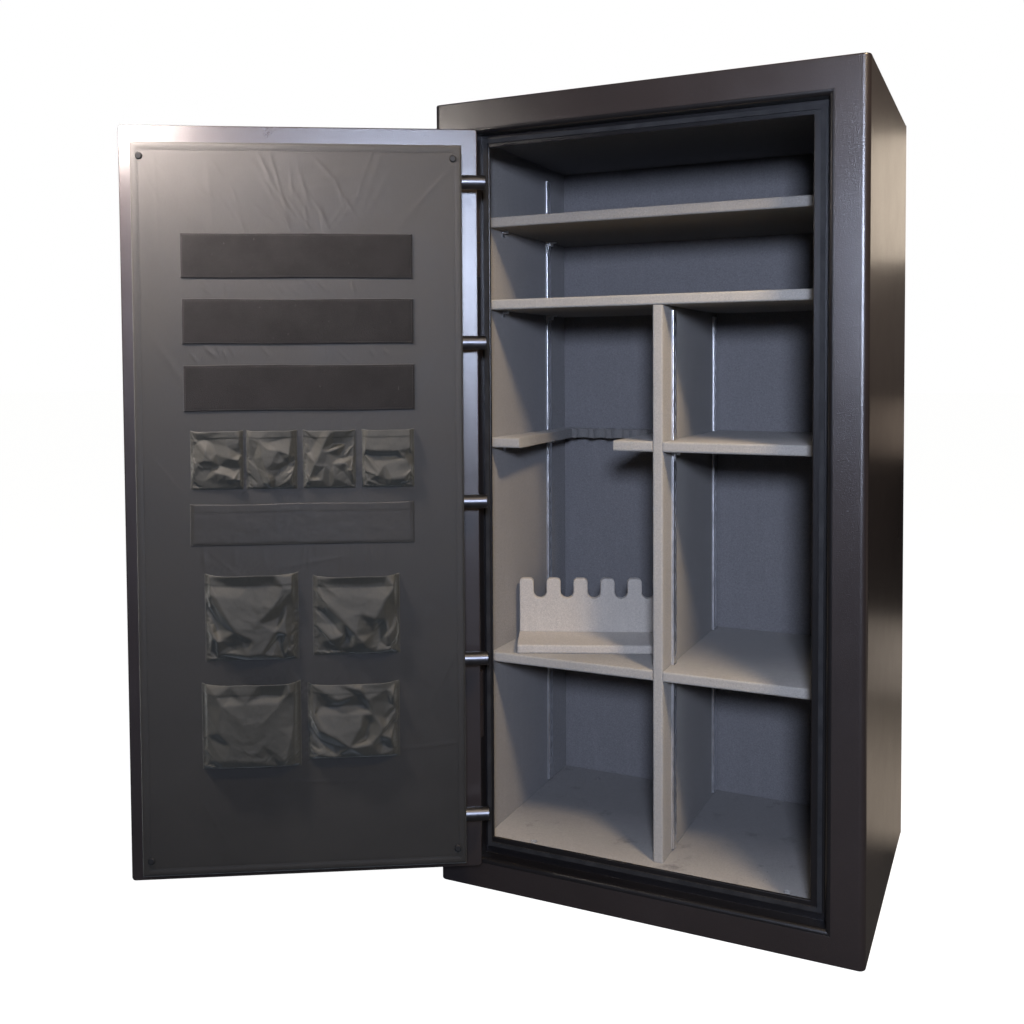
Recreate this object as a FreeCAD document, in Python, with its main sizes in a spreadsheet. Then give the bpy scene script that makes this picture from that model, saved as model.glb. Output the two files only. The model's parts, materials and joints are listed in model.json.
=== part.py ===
import FreeCAD, Part
import math
import os
import re
import Sketcher
from FreeCAD import Placement, Rotation, Vector

# Gun safe with its door standing open at 150 degrees. Millimetres, +Z up, the front
# faces -Y, the origin is the centre of the cabinet's footprint on the floor.
#
# Formulas use cabinet coordinates: x = distance from the left side, y = distance behind
# the front face, z = height; place() shifts them to the origin. The door's pieces are
# laid out closed, then swung open about the hinge axis. Cutting tools run a few
# millimetres past the stock, which is all that bounds such as -5 or 60 do in them.

DIMS = {
    # cabinet shell
    "cab_wide": 796, "cab_deep": 594, "cab_high": 1500, "steel": 3,
    "edge_round": 12, "edge_soft": 2.5,
    # door frame: recess for the door plate, opening behind it, bullnosed rim, seal
    "recess_left": 85, "recess_right": 731, "recess_bottom": 58, "recess_top": 1439,
    "recess_deep": 31, "open_left": 101, "open_right": 702, "open_bottom": 89,
    "open_top": 1416, "lip_thick": 4.5, "fold_round": 2, "bull": 9, "bull_round": 8,
    "seal_wide": 8, "seal_thick": 3, "seal_left_gap": 5, "seal_right_gap": 12,
    "seal_bottom_gap": 14, "seal_top_gap": 7,
    # linings; wall is the distance from the cabinet's side to the carpet's face
    "wall": 50, "carpet": 5, "back_face": 525, "floor_top": 54, "ceil_under": 1446,
    "liner_front": 13, "carpet_front": 36,
    "anchor_rad": 7, "anchor_dx": 500, "anchor_dy": 360,
    # shelves; the named heights are those of their upper faces
    "board": 20, "shelf_front": 130, "shelf_gap": 0.5, "shelf_rear_gap": 1, "board_round": 4,
    "top_shelf": 1300, "second_shelf": 1136, "upper_shelf": 859, "lower_shelf": 423,
    "div_left": 391, "div_right": 411, "notch_wide": 22, "notch_deep": 6,
    # barrel rest
    "rest_arm": 64, "rest_taper": 24, "rest_right_arm": 78, "rest_cut": 340,
    "scallop_first": 66, "scallop_pitch": 42, "scallop_rad": 15, "scallop_shift": 2,
    # slotted shelf standards
    "strip_wide": 20, "strip_deep": 5, "strip_skin": 1.4, "strip_round": 2,
    "strip_front": 196, "strip_rear": 425, "strip_rear_div": 500,
    "slot_pitch": 25.4, "slot_wide": 4, "slot_high": 13,
    # loose gun rack
    "rack_long": 300, "rack_deep": 128, "rack_base": 18, "rack_comb": 18, "rack_high": 131,
    "rack_pitch": 57, "rack_notch": 27, "rack_notch_deep": 42, "rack_turn": 22,
    "rack_left": 104, "rack_front": 137, "comb_round": 9, "comb_edge": 3,
    # hinges
    "hinge_x": 91, "hinge_front": 11.6, "open_angle": 150, "barrel_rad": 10, "pin_rad": 5,
    "pin_play": 0.05, "pin_seat": 8, "pin_short": 6, "knuckle": 62, "washer": 1.5,
    "washer_play": 0.02, "washer_inset": 0.6, "leaf_thick": 8, "leaf_long": 44,
    "leaf_gap": 4, "hinge_low": 300, "hinge_high": 1170,
    # door plate
    "plate_left": 88, "plate_right": 728, "plate_bottom": 66, "plate_top": 1436,
    "plate_thick": 26, "skin": 5, "flange": 3, "plate_side": 4, "plate_round": 7,
    "plate_soft": 2,
    # bolt box and inner panel
    "box_left": 119.5, "box_right": 690, "box_bottom": 105, "box_top": 1392, "box_wall": 3,
    "box_rear": 92, "box_lip": 18, "box_round": 2.5, "panel_thick": 3, "fabric": 1.5,
    # bolts and carriage
    "bolt_rad": 12.5, "bolt_chamfer": 1.5, "bolt_y": 63, "bolt_low": 181, "bolt_pitch": 288,
    "fixed_tip": 75, "fixed_root": 160, "live_tip": 689, "live_root": 566, "guide_rad": 16,
    "guide_long": 16, "guide_flange": 4, "guide_play": 0.06, "bar_thick": 6,
    "bar_over": 30, "ear_left": 426.6, "ear_top": 848.4, "ear_high": 20, "arm_sink": 3,
    "tongue_long": 96, "tongue_front": 60, "tongue_rear": 66, "tongue_half": 15,
    # rack and pinion
    "gear_module": 2.5, "gear_teeth": 16, "gear_wide": 10, "gear_front": 56,
    "gear_rack_left": 415, "gear_rack_deep": 14, "gear_rack_gap": 0.3,
    # handle
    "handle_x": 470, "handle_z": 720, "shaft_rad": 8, "shaft_play": 0.06,
    "shaft_front": 30, "shaft_rear": 68, "bush_rad": 12, "bush_flange": 4, "hub_rad": 27,
    "spoke_rad": 7, "spoke_long": 92, "spoke_root": 18, "spoke_front": 23, "knob_rad": 13,
    # combination lock
    "dial_x": 440, "dial_z": 900, "dial_rad": 37.5, "spindle_rad": 3.9, "spindle_hole": 4.3,
    "spindle_front": 14, "spindle_rear": 56, "hardplate_half": 50,
    "lock_wide": 70, "lock_high": 80, "lock_front": 33, "lock_rear": 61, "lock_wall": 2.5,
    "tab_left": 430, "tab_wide": 20, "tab_thick": 8, "tab_front": 41, "tab_play": 0.1,
}
NEAR = 1e-3  # tolerance of the edge tests

doc = FreeCAD.newDocument("GunSafe")
sheet = doc.addObject("Spreadsheet::Sheet", "dims")
for row, (alias, value) in enumerate(DIMS.items(), 1):
    sheet.set(f"A{row}", alias)
    sheet.set(f"B{row}", str(value))
    sheet.setAlias(f"B{row}", alias)
doc.recompute()


class Sizes:
    """The sheet's values as plain numbers."""


size = Sizes()
for alias in DIMS:
    setattr(size, alias, float(sheet.get(alias)))


def expr(formula):
    """Turns the aliases in a formula into references to the sheet."""
    return re.sub("[a-z_]+", lambda word: "dims." + word[0] if word[0] in DIMS else word[0],
                  f"({formula})")


def bind(obj, **formulas):
    for prop, formula in formulas.items():
        obj.setExpression(prop, expr(formula))
    return obj


# ---- Part helpers ---------------------------------------------------------------------
AXES = {"x": Rotation(Vector(0, 1, 0), 90), "y": Rotation(Vector(1, 0, 0), -90),
        "z": Rotation()}


def place(obj, x, y, z, rotation=Rotation()):
    obj.Placement = Placement(Vector(0, 0, 0), rotation)
    obj.setExpression("Placement.Base.x", expr(f"({x}) - cab_wide / 2"))
    obj.setExpression("Placement.Base.y", expr(f"({y}) - cab_deep / 2"))
    obj.setExpression("Placement.Base.z", expr(z))
    return obj


def box(name, left, right, front, rear, bottom, top):
    solid = bind(doc.addObject("Part::Box", name), Length=f"({right}) - ({left})",
                 Width=f"({rear}) - ({front})", Height=f"({top}) - ({bottom})")
    return place(solid, left, front, bottom)


def rod(name, axis, x, y, z, radius, length):
    solid = bind(doc.addObject("Part::Cylinder", name), Radius=radius, Height=length)
    return place(solid, x, y, z, AXES[axis])


def cone(name, axis, x, y, z, start, end, length):
    solid = bind(doc.addObject("Part::Cone", name), Radius1=start, Radius2=end, Height=length)
    return place(solid, x, y, z, AXES[axis])


def fuse(name, objs):
    result = doc.addObject("Part::MultiFuse", name)
    result.Shapes = objs
    result.Refine = True
    return result


def cut(name, base, tools):
    result = doc.addObject("Part::Cut", name)
    result.Base = base
    result.Tool = tools[0] if len(tools) == 1 else fuse(name + "_tools", tools)
    result.Refine = True
    return result


def group(name, objs):
    result = doc.addObject("Part::Compound", name)
    result.Links = objs
    return result


def fixed_shape(name, shape):
    result = doc.addObject("Part::Feature", name)
    result.Shape = shape
    return result


def soften(name, base, test, radius):
    """Rounds the edges of base whose bounding box passes the test."""
    doc.recompute()
    fillet = doc.addObject("Part::Fillet", name)
    fillet.Base = base
    value = getattr(size, radius)
    fillet.Edges = [(i, value, value) for i, edge in enumerate(base.Shape.Edges, 1)
                    if test(edge.BoundBox)]
    doc.recompute()
    shape = fillet.Shape
    if shape.isNull() or not shape.isValid() or abs(shape.Volume - base.Shape.Volume) < 1:
        raise RuntimeError(name + ": no edge was rounded")
    return fillet


# The finished pieces; each is exported under its label, which is also its object name.
pieces = []
door_pieces = []


def keep(obj):
    pieces.append(obj)


def keep_on_door(obj):
    pieces.append(obj)
    door_pieces.append(obj)


# ---- Part Design helpers --------------------------------------------------------------
def new_body(name):
    return doc.addObject("PartDesign::Body", name)


def new_sketch(body, name, role):
    sketch = body.newObject("Sketcher::SketchObject", name)
    plane = next(item for item in body.Origin.OriginFeatures if item.Role == role)
    sketch.AttachmentSupport = (plane, "")
    sketch.MapMode = "FlatFace"
    return sketch


def drive(sketch, name, constraint, formula):
    """Adds a dimension to the sketch, driven by a formula."""
    index = sketch.addConstraint(constraint)
    sketch.renameConstraint(index, name)
    sketch.setExpression("Constraints." + name, expr(formula))


def rectangle(sketch, left, low, right, high):
    """The sketch's only outline: a rectangle between two corners given as formulas."""
    corners = [Vector(0, 0, 0), Vector(10, 0, 0), Vector(10, 10, 0), Vector(0, 10, 0)]
    for i in range(4):
        sketch.addGeometry(Part.LineSegment(corners[i], corners[(i + 1) % 4]), False)
    for i in range(4):
        sketch.addConstraint(Sketcher.Constraint("Coincident", i, 2, (i + 1) % 4, 1))
    for i, kind in enumerate(("Horizontal", "Vertical", "Horizontal", "Vertical")):
        sketch.addConstraint(Sketcher.Constraint(kind, i))
    # constraint name, kind, line, end of the line, starting value, formula
    for name, kind, side, end, start, formula in (
            ("left", "DistanceX", 0, 1, 0.5, left), ("low", "DistanceY", 0, 1, 0.5, low),
            ("right", "DistanceX", 1, 2, 10, right), ("high", "DistanceY", 1, 2, 10, high)):
        drive(sketch, name, Sketcher.Constraint(kind, -1, 1, side, end, start), formula)


def circle(sketch, x, y, radius):
    i = sketch.GeometryCount
    sketch.addGeometry(Part.Circle(Vector(5, 5, 0), Vector(0, 0, 1), 2), False)
    drive(sketch, f"across{i}", Sketcher.Constraint("DistanceX", -1, 1, i, 3, 5), x)
    drive(sketch, f"along{i}", Sketcher.Constraint("DistanceY", -1, 1, i, 3, 5), y)
    drive(sketch, f"radius{i}", Sketcher.Constraint("Radius", i, 2), radius)


def polygon(sketch, points, block=True):
    """A closed outline of straight lines, held in place when block is set."""
    count = len(points)
    for i in range(count):
        start, end = Vector(*points[i], 0), Vector(*points[(i + 1) % count], 0)
        sketch.addGeometry(Part.LineSegment(start, end), False)
    for i in range(count):
        sketch.addConstraint(Sketcher.Constraint("Coincident", i, 2, (i + 1) % count, 1))
        if block:
            sketch.addConstraint(Sketcher.Constraint("Block", i))


def pad(body, name, sketch, length, backwards=False):
    result = body.newObject("PartDesign::Pad", name)
    result.Profile = sketch
    bind(result, Length=length)
    result.Reversed = backwards
    doc.recompute()
    return result


def finish(body, feature, base):
    """Makes the feature the body's tip and makes sure that it took material off base."""
    body.Tip = feature
    doc.recompute()
    if feature.Shape.isNull() or feature.Shape.Volume > base.Shape.Volume - 1:
        raise RuntimeError(feature.Name + ": nothing was removed")
    return feature


def pocket(body, name, sketch, base):
    """Cuts the sketch upwards through the whole body."""
    result = body.newObject("PartDesign::Pocket", name)
    result.Profile = sketch
    result.Type = "ThroughAll"
    result.Reversed = True
    return finish(body, result, base)


def round_edges(body, name, base, test, radius):
    result = body.newObject("PartDesign::Fillet", name)
    result.Base = (base, [f"Edge{i}" for i, edge in enumerate(base.Shape.Edges, 1)
                          if test(edge.BoundBox)])
    bind(result, Radius=radius)
    return finish(body, result, base)


def turned(name, points):
    """A body turned about its own Z axis from (radius, height) points."""
    body = new_body(name)
    sketch = new_sketch(body, name + "_profile", "XZ_Plane")
    polygon(sketch, points)
    result = body.newObject("PartDesign::Revolution", name + "_turned")
    result.Profile = sketch
    result.ReferenceAxis = (sketch, ["V_Axis"])
    result.Angle = 360
    body.Tip = result
    doc.recompute()
    return body


def turned_on_door(name, points, x, z):
    """A turned body whose height points forward from the door's face."""
    return place(turned(name, points), x, "0", z, Rotation(Vector(1, 0, 0), 90))


# ---- cabinet --------------------------------------------------------------------------
def cabinet_block(name, wide, deep, high, radius):
    """A block at the body's origin with its two front vertical edges rounded."""
    body = new_body(name)
    sketch = new_sketch(body, name + "_sketch", "XY_Plane")
    rectangle(sketch, "0", "0", wide, deep)
    block = pad(body, name + "_pad", sketch, high)
    corners = round_edges(body, name + "_corners", block,
                          lambda b: b.ZLength > 100 and abs(b.YMax) < NEAR, radius)
    return body, corners


outer, corners = cabinet_block("shell_outer", "cab_wide", "cab_deep - steel", "cab_high",
                               "edge_round")
bounds = corners.Shape.BoundBox
# the top and bottom rims, except along the rear
round_edges(outer, "shell_outer_rims", corners,
            lambda b: b.ZLength < NEAR and b.YMin < bounds.YMax - 1
            and min(abs(b.ZMax - bounds.ZMax), abs(b.ZMin)) < NEAR, "edge_soft")
place(outer, "0", "0", "0")
inner, _ = cabinet_block("shell_inner", "cab_wide - 2 * steel", "cab_deep",
                         "cab_high - 2 * steel", "edge_round - steel")
place(inner, "steel", "steel", "steel")


def anchor_holes(tag):
    """Four upright rods that cut the floor's anchor holes."""
    signs = [(across, along) for across in "-+" for along in "-+"]
    return [rod(f"{tag}_anchor{i}", "z", f"cab_wide / 2 {across} anchor_dx / 2",
                f"cab_deep / 2 {along} anchor_dy / 2", "-5", "anchor_rad", "80")
            for i, (across, along) in enumerate(signs)]


RIM = ("recess_left - bull", "recess_right + bull")
RIM_HEIGHT = ("recess_bottom - bull", "recess_top + bull")
face_opening = box("shell_face_opening", *RIM, "-5", "20", *RIM_HEIGHT)
keep(cut("body_shell", outer, [inner, face_opening] + anchor_holes("shell")))
keep(box("back_plate", "0", "cab_wide", "cab_deep - steel", "cab_deep", "0", "cab_high"))


def rim_edges(depth, bottom, top):
    """A test for the edges in the plane at this depth that lie within the height span."""
    y = depth - size.cab_deep / 2
    return lambda b: (abs(b.YMax - y) < NEAR and b.YLength < NEAR
                      and bottom - 1 < b.ZMin and b.ZMax < top + 1)


frame = cut("frame_cut", box("frame_block", *RIM, "0", "recess_deep + lip_thick", *RIM_HEIGHT),
            [box("frame_recess", "recess_left", "recess_right", "-5", "recess_deep",
                 "recess_bottom", "recess_top"),
             box("frame_hole", "open_left", "open_right", "-5", "60",
                 "open_bottom", "open_top")])
frame = soften("frame_lip_soft", frame,
               rim_edges(size.recess_deep, size.open_bottom, size.open_top), "fold_round")
keep(soften("door_frame", frame,
            rim_edges(0, size.recess_bottom, size.recess_top), "bull_round"))

seal_left, seal_right = "recess_left + seal_left_gap", "open_right + seal_right_gap"
seal_bottom, seal_top = "recess_bottom + seal_bottom_gap", "recess_top - seal_top_gap"
keep(cut("fire_seal",
         box("seal_block", seal_left, seal_right + " + seal_wide",
             "recess_deep - seal_thick", "recess_deep", seal_bottom, seal_top),
         [box("seal_hole", seal_left + " + seal_wide", seal_right, "0", "60",
              seal_bottom + " + seal_wide", seal_top + " - seal_wide")]))

# gypsum fireboard liners between the steel and the carpeted panels
INSIDE = ("steel", "cab_wide - steel")
PANEL_SPAN = ("wall - carpet", "cab_wide - wall + carpet")
side_board = ("liner_front", "back_face + carpet", "floor_top - carpet", "ceil_under + carpet")
keep(box("fireboard_left", "steel", "wall - carpet", *side_board))
keep(box("fireboard_right", "cab_wide - wall + carpet", "cab_wide - steel", *side_board))
keep(box("fireboard_back", *INSIDE, "back_face + carpet", "cab_deep - steel",
         "floor_top - carpet", "ceil_under + carpet"))
keep(box("fireboard_top", *INSIDE, "liner_front", "cab_deep - steel",
         "ceil_under + carpet", "cab_high - steel"))
bottom_board = box("fireboard_bottom_block", *INSIDE, "liner_front", "cab_deep - steel",
                   "steel", "floor_top - carpet")
keep(cut("fireboard_bottom", bottom_board, anchor_holes("fireboard")))

# carpeted lining panels
panel_deep = ("carpet_front", "back_face + carpet")
keep(box("carpet_left", "wall - carpet", "wall", *panel_deep, "floor_top", "ceil_under"))
keep(box("carpet_right", "cab_wide - wall", "cab_wide - wall + carpet", *panel_deep,
         "floor_top", "ceil_under"))
keep(box("carpet_back", "wall", "cab_wide - wall", "back_face", "back_face + carpet",
         "floor_top", "ceil_under"))
keep(box("carpet_ceiling", *PANEL_SPAN, *panel_deep, "ceil_under", "ceil_under + carpet"))
floor_panel = box("carpet_floor_block", *PANEL_SPAN, *panel_deep,
                  "floor_top - carpet", "floor_top")
keep(cut("carpet_floor", floor_panel, anchor_holes("carpet")))


# ---- shelves --------------------------------------------------------------------------
def shelf(name, left, right, top, rear_left, rear_right):
    """A carpeted board, notched at both ends to pass the slotted standards."""
    body = new_body(name)
    sketch = new_sketch(body, name + "_sketch", "XY_Plane")
    wide = f"(({right}) - ({left}) - 2 * shelf_gap)"
    rectangle(sketch, "0", "0", wide, "back_face - shelf_front - shelf_rear_gap")
    tip = pad(body, name + "_pad", sketch, "board")
    left_end, right_end = ("-5", "notch_deep"), (wide + " - notch_deep", wide + " + 5")
    notches = [(left_end, rear_left), (right_end, "strip_front"), (right_end, rear_right)]
    if left != "wall":  # the left wall has no front standard
        notches.insert(0, (left_end, "strip_front"))
    for i, ((start, end), middle) in enumerate(notches):
        sketch = new_sketch(body, f"{name}_notch{i}", "XY_Plane")
        rectangle(sketch, start, f"{middle} - shelf_front - notch_wide / 2",
                  end, f"{middle} - shelf_front + notch_wide / 2")
        tip = pocket(body, f"{name}_pocket{i}", sketch, tip)
    round_edges(body, name + "_front", tip,
                lambda b: b.XLength > 100 and abs(b.YMax) < NEAR, "board_round")
    keep(place(body, f"({left}) + shelf_gap", "shelf_front", f"({top}) - board"))


# name, left, right, upper face, left and right rear standards
for entry in (
        ("shelf_top", "wall", "cab_wide - wall", "top_shelf", "strip_rear", "strip_rear"),
        ("shelf_second", "wall", "cab_wide - wall", "second_shelf", "strip_rear",
         "strip_rear"),
        ("shelf_right_upper", "div_right", "cab_wide - wall", "upper_shelf",
         "strip_rear_div", "strip_rear"),
        ("shelf_right_lower", "div_right", "cab_wide - wall", "lower_shelf",
         "strip_rear_div", "strip_rear"),
        ("shelf_left_lower", "wall", "div_left", "lower_shelf", "strip_rear",
         "strip_rear_div")):
    shelf(*entry)

board_front = size.shelf_front - size.cab_deep / 2
divider_board = box("divider_board", "div_left", "div_right", "shelf_front",
                    "back_face - shelf_rear_gap", "floor_top",
                    "second_shelf - board - shelf_gap")
keep(soften("divider", divider_board,
            lambda b: b.ZLength > 500 and abs(b.YMax - board_front) < NEAR, "board_round"))


# barrel rest: a board cut out in a deep U from the front, with scallops for the barrels
# in the U's rear edge
def notch(end, floor, strip, half):
    """Outline of one notch round a standard; a negative half runs it rear to front."""
    middle = strip - size.shelf_front
    return [(end, middle - half), (floor, middle - half),
            (floor, middle + half), (end, middle + half)]


rest_wide = size.div_left - size.wall - 2 * size.shelf_gap
rest_deep = size.back_face - size.shelf_front - size.shelf_rear_gap
right_arm, notch_floor = rest_wide - size.rest_right_arm, rest_wide - size.notch_deep
half_notch = size.notch_wide / 2
rest = new_body("barrel_rest")
sketch = new_sketch(rest, "barrel_rest_sketch", "XY_Plane")
polygon(sketch, [(0, 0), (size.rest_arm, 0), (size.rest_arm - size.rest_taper, size.rest_cut),
                 (right_arm, size.rest_cut), (right_arm, 0), (rest_wide, 0)]
        + notch(rest_wide, notch_floor, size.strip_front, half_notch)
        + notch(rest_wide, notch_floor, size.strip_rear_div, half_notch)
        + [(rest_wide, rest_deep), (0, rest_deep)]
        + notch(0, size.notch_deep, size.strip_rear, -half_notch))
rest_pad = pad(rest, "barrel_rest_pad", sketch, "board")
sketch = new_sketch(rest, "barrel_rest_scallops", "XY_Plane")
for i in range(5):
    circle(sketch, f"scallop_first + {i} * scallop_pitch", "rest_cut + scallop_shift",
           "scallop_rad")
scalloped = pocket(rest, "barrel_rest_cut", sketch, rest_pad)
round_edges(rest, "barrel_rest_front", scalloped,
            lambda b: b.ZLength < NEAR and b.XLength > 40 and b.YMax < NEAR, "board_round")
keep(place(rest, "wall + shelf_gap", "shelf_front", "upper_shelf - board"))


# ---- slotted shelf standards and their clips --------------------------------------------
def mount(shape, x, y, side):
    """Moves a shape built facing +X to the wall at x; side -1 makes it face -X."""
    if side < 0:
        shape.rotate(Vector(0, 0, 0), Vector(0, 0, 1), 180)
    shape.translate(Vector(x - size.cab_wide / 2, y - size.cab_deep / 2, 0))
    return shape


def standard(x, y, top, side):
    """A channel strip with a column of slots."""
    wide, deep, skin = size.strip_wide, size.strip_deep, size.strip_skin
    bottom = size.floor_top + 6
    solid = Part.makeBox(deep, wide, top - bottom, Vector(0, -wide / 2, bottom))
    solid = solid.makeFillet(size.strip_round, [
        edge for edge in solid.Edges
        if edge.BoundBox.ZLength > 100 and edge.BoundBox.XMin > deep - NEAR])
    shape = solid.cut(Part.makeBox(deep, wide - 2 * skin, top - bottom + 2,
                                   Vector(-skin, -wide / 2 + skin, bottom - 1)))
    slots = []
    z = bottom + 20
    while z < top - 30:
        slots.append(Part.makeBox(4, size.slot_wide, size.slot_high,
                                  Vector(deep - 2.5, -size.slot_wide / 2, z)))
        z += size.slot_pitch
    return mount(shape.cut(Part.makeCompound(slots)), x, y, side)


left_wall, right_wall = size.wall, size.cab_wide - size.wall
wall_top = size.ceil_under - 30
divider_top = size.second_shelf - size.board - 8
keep(fixed_shape("shelf_standards", Part.makeCompound([standard(*entry) for entry in (
    (left_wall, size.strip_rear, wall_top, 1),
    (right_wall, size.strip_front, wall_top, -1),
    (right_wall, size.strip_rear, wall_top, -1),
    (size.div_right, size.strip_front, divider_top, 1),
    (size.div_right, size.strip_rear_div, divider_top, 1),
    (size.div_left, size.strip_front, divider_top, -1),
    (size.div_left, size.strip_rear_div, divider_top, -1))])))


def clip(x, y, under, side):
    """A small steel bracket on a standard, under a board: ledge, leg and brace."""
    face = size.strip_deep
    ledge = Part.makeBox(16, 12, 1.8, Vector(face, -6, under - 1.8))
    leg = Part.makeBox(1.8, 12, 14, Vector(face, -6, under - 15.8))
    brace = Part.makeBox(8, 1.8, 8, Vector(face + 1.8, -0.9, under - 9.8))
    return mount(ledge.fuse([leg, brace]).removeSplitter(), x, y, side)


def peg(x, y, under):
    """A small shelf peg on the left wall, with a foot plate below it."""
    pin = Part.makeCylinder(2.5, 12, Vector(0, 0, under - 2.5), Vector(1, 0, 0))
    foot = Part.makeBox(1.2, 9, 11, Vector(0, -4.5, under - 12.2))
    return mount(pin.fuse(foot).removeSplitter(), x, y, 1)


clips = []
# upper face, left and right mounting faces, left and right rear standards
for top, left, right, rear_left, rear_right in (
        (size.top_shelf, left_wall, right_wall, size.strip_rear, size.strip_rear),
        (size.second_shelf, left_wall, right_wall, size.strip_rear, size.strip_rear),
        (size.upper_shelf, size.div_right, right_wall, size.strip_rear_div, size.strip_rear),
        (size.lower_shelf, size.div_right, right_wall, size.strip_rear_div, size.strip_rear),
        (size.upper_shelf, left_wall, size.div_left, size.strip_rear, size.strip_rear_div),
        (size.lower_shelf, left_wall, size.div_left, size.strip_rear, size.strip_rear_div)):
    under = top - size.board
    if left == left_wall:
        clips.append(peg(left, size.strip_front, under))
    else:
        clips.append(clip(left, size.strip_front, under, 1))
    clips += [clip(left, rear_left, under, 1), clip(right, size.strip_front, under, -1),
              clip(right, rear_right, under, -1)]
keep(fixed_shape("shelf_clips", Part.makeCompound(clips)))

# ---- loose gun rack: a base board with a notched upright at its rear edge -----------------
rack_turn = Rotation(Vector(0, 0, 1), size.rack_turn)
base_board = bind(doc.addObject("Part::Box", "rack_base_board"),
                  Length="rack_long", Width="rack_deep", Height="rack_base")
rack_base = soften("gun_rack_base", base_board,
                   lambda b: b.XLength > 200 and b.YMax < NEAR or b.ZLength > 5,
                   "board_round")
keep(place(rack_base, "rack_left", "rack_front", "lower_shelf", rack_turn))


def comb_outline():
    """Lines and arcs of the upright: five round-bottomed notches between rounded teeth."""
    top = size.rack_high - size.rack_base
    long, corner, radius = size.rack_long, size.comb_round, size.rack_notch / 2
    shoulder = top - corner
    notch_low = top - size.rack_notch_deep
    inset = corner * (1 - math.sqrt(0.5))  # of a corner arc's middle point
    outline = []

    def line(*points):
        outline.append(Part.LineSegment(*[Vector(*point, 0) for point in points]))

    def arc(*points):
        outline.append(Part.Arc(*[Vector(*point, 0) for point in points]))

    end = (0, 0)
    for i in range(6):
        left = i * size.rack_pitch
        right = left + size.rack_pitch - size.rack_notch
        line(end, (left, shoulder))
        arc((left, shoulder), (left + inset, top - inset), (left + corner, top))
        if i < 5:
            line((left + corner, top), (right - corner, top))
            arc((right - corner, top), (right - inset, top - inset), (right, shoulder))
            line((right, shoulder), (right, notch_low + radius))
            end = (right + size.rack_notch, notch_low + radius)
            arc((right, notch_low + radius), (right + radius, notch_low), end)
    # the last tooth is cut off square at the end of the board
    line((left + corner, top), (long, top))
    line((long, top), (long, 0))
    line((long, 0), (0, 0))
    return outline


comb = new_body("gun_rack_comb")
sketch = new_sketch(comb, "rack_comb_profile", "XZ_Plane")
outline = comb_outline()
for piece in outline:
    sketch.addGeometry(piece, False)
for i in range(len(outline)):
    sketch.addConstraint(Sketcher.Constraint("Block", i))
comb_pad = pad(comb, "rack_comb_pad", sketch, "rack_comb", backwards=True)
round_edges(comb, "rack_comb_soft", comb_pad,
            lambda b: b.YLength < NEAR and b.ZMax > 5, "comb_edge")
rack_corner = Vector(size.rack_left - size.cab_wide / 2, size.rack_front - size.cab_deep / 2,
                     size.lower_shelf + size.rack_base)
comb_shift = rack_turn.multVec(Vector(0, size.rack_deep - size.rack_comb, 0))
comb.Placement = Placement(rack_corner + comb_shift, rack_turn)
keep(comb)


# ---- hinges: two lift-off barrel hinges on the front face -------------------------------
def on_hinge(name, bottom, radius, length):
    return rod(name, "z", "hinge_x", "-hinge_front", bottom, radius, length)


frame_leaves, door_leaves, pins, washers = [], [], [], []
for i, low in enumerate(("hinge_low", "hinge_high")):
    tag = f"hinge{i}_"
    leaf = box(tag + "frame_leaf", "hinge_x - leaf_long", "hinge_x - leaf_gap",
               "-leaf_thick", "0", low, f"{low} + knuckle")
    barrel = on_hinge(tag + "frame_barrel", low, "barrel_rad", "knuckle")
    bore = on_hinge(tag + "frame_bore", f"{low} + pin_seat", "pin_rad", "knuckle")
    frame_leaves.append(cut(tag + "frame", fuse(tag + "frame_body", [barrel, leaf]), [bore]))

    ring = on_hinge(tag + "washer_disc", f"{low} + knuckle", "barrel_rad - washer_inset",
                    "washer - washer_play")
    bore = on_hinge(tag + "washer_bore", low, "pin_rad + pin_play", "2 * knuckle")
    washers.append(cut(tag + "washer", ring, [bore]))

    door_low = f"{low} + knuckle + washer"
    leaf = box(tag + "door_leaf", "hinge_x", "hinge_x + leaf_long", "-leaf_thick", "0",
               door_low, f"{door_low} + knuckle")
    barrel = on_hinge(tag + "door_barrel", door_low, "barrel_rad", "knuckle")
    bore = on_hinge(tag + "door_bore", f"{door_low} - 5", "pin_rad + pin_play", "knuckle")
    door_leaves.append(cut(tag + "door", fuse(tag + "door_body", [barrel, leaf]), [bore]))

    pins.append(on_hinge(tag + "pin", f"{low} + pin_seat", "pin_rad",
                         "2 * knuckle + washer - pin_seat - pin_short"))
keep(group("hinge_frame_leaves", frame_leaves))
keep(group("hinge_pins", pins))
keep(group("hinge_washers", washers))
keep_on_door(group("hinge_door_leaves", door_leaves))

# ---- door plate: a folded pan with its flange turned in behind ---------------------------
plate = new_body("plate_outer")
sketch = new_sketch(plate, "plate_sketch", "XZ_Plane")
rectangle(sketch, "0", "0", "plate_right - plate_left", "plate_top - plate_bottom")
plate_pad = pad(plate, "plate_pad", sketch, "plate_thick", backwards=True)
corners = round_edges(plate, "plate_corners", plate_pad,
                      lambda b: b.YLength > 5 and b.DiagonalLength < 100, "plate_round")
round_edges(plate, "plate_edges", corners, lambda b: b.YLength < NEAR, "plate_soft")
place(plate, "plate_left", "0", "plate_bottom")


def door_bores(tag):
    """Tools for the handle's and the dial's holes through the door."""
    return [rod(tag + "_shaft_bore", "y", "handle_x", "-5", "handle_z", "bush_rad", "45"),
            rod(tag + "_dial_bore", "y", "dial_x", "-5", "dial_z", "spindle_hole", "45")]


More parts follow.
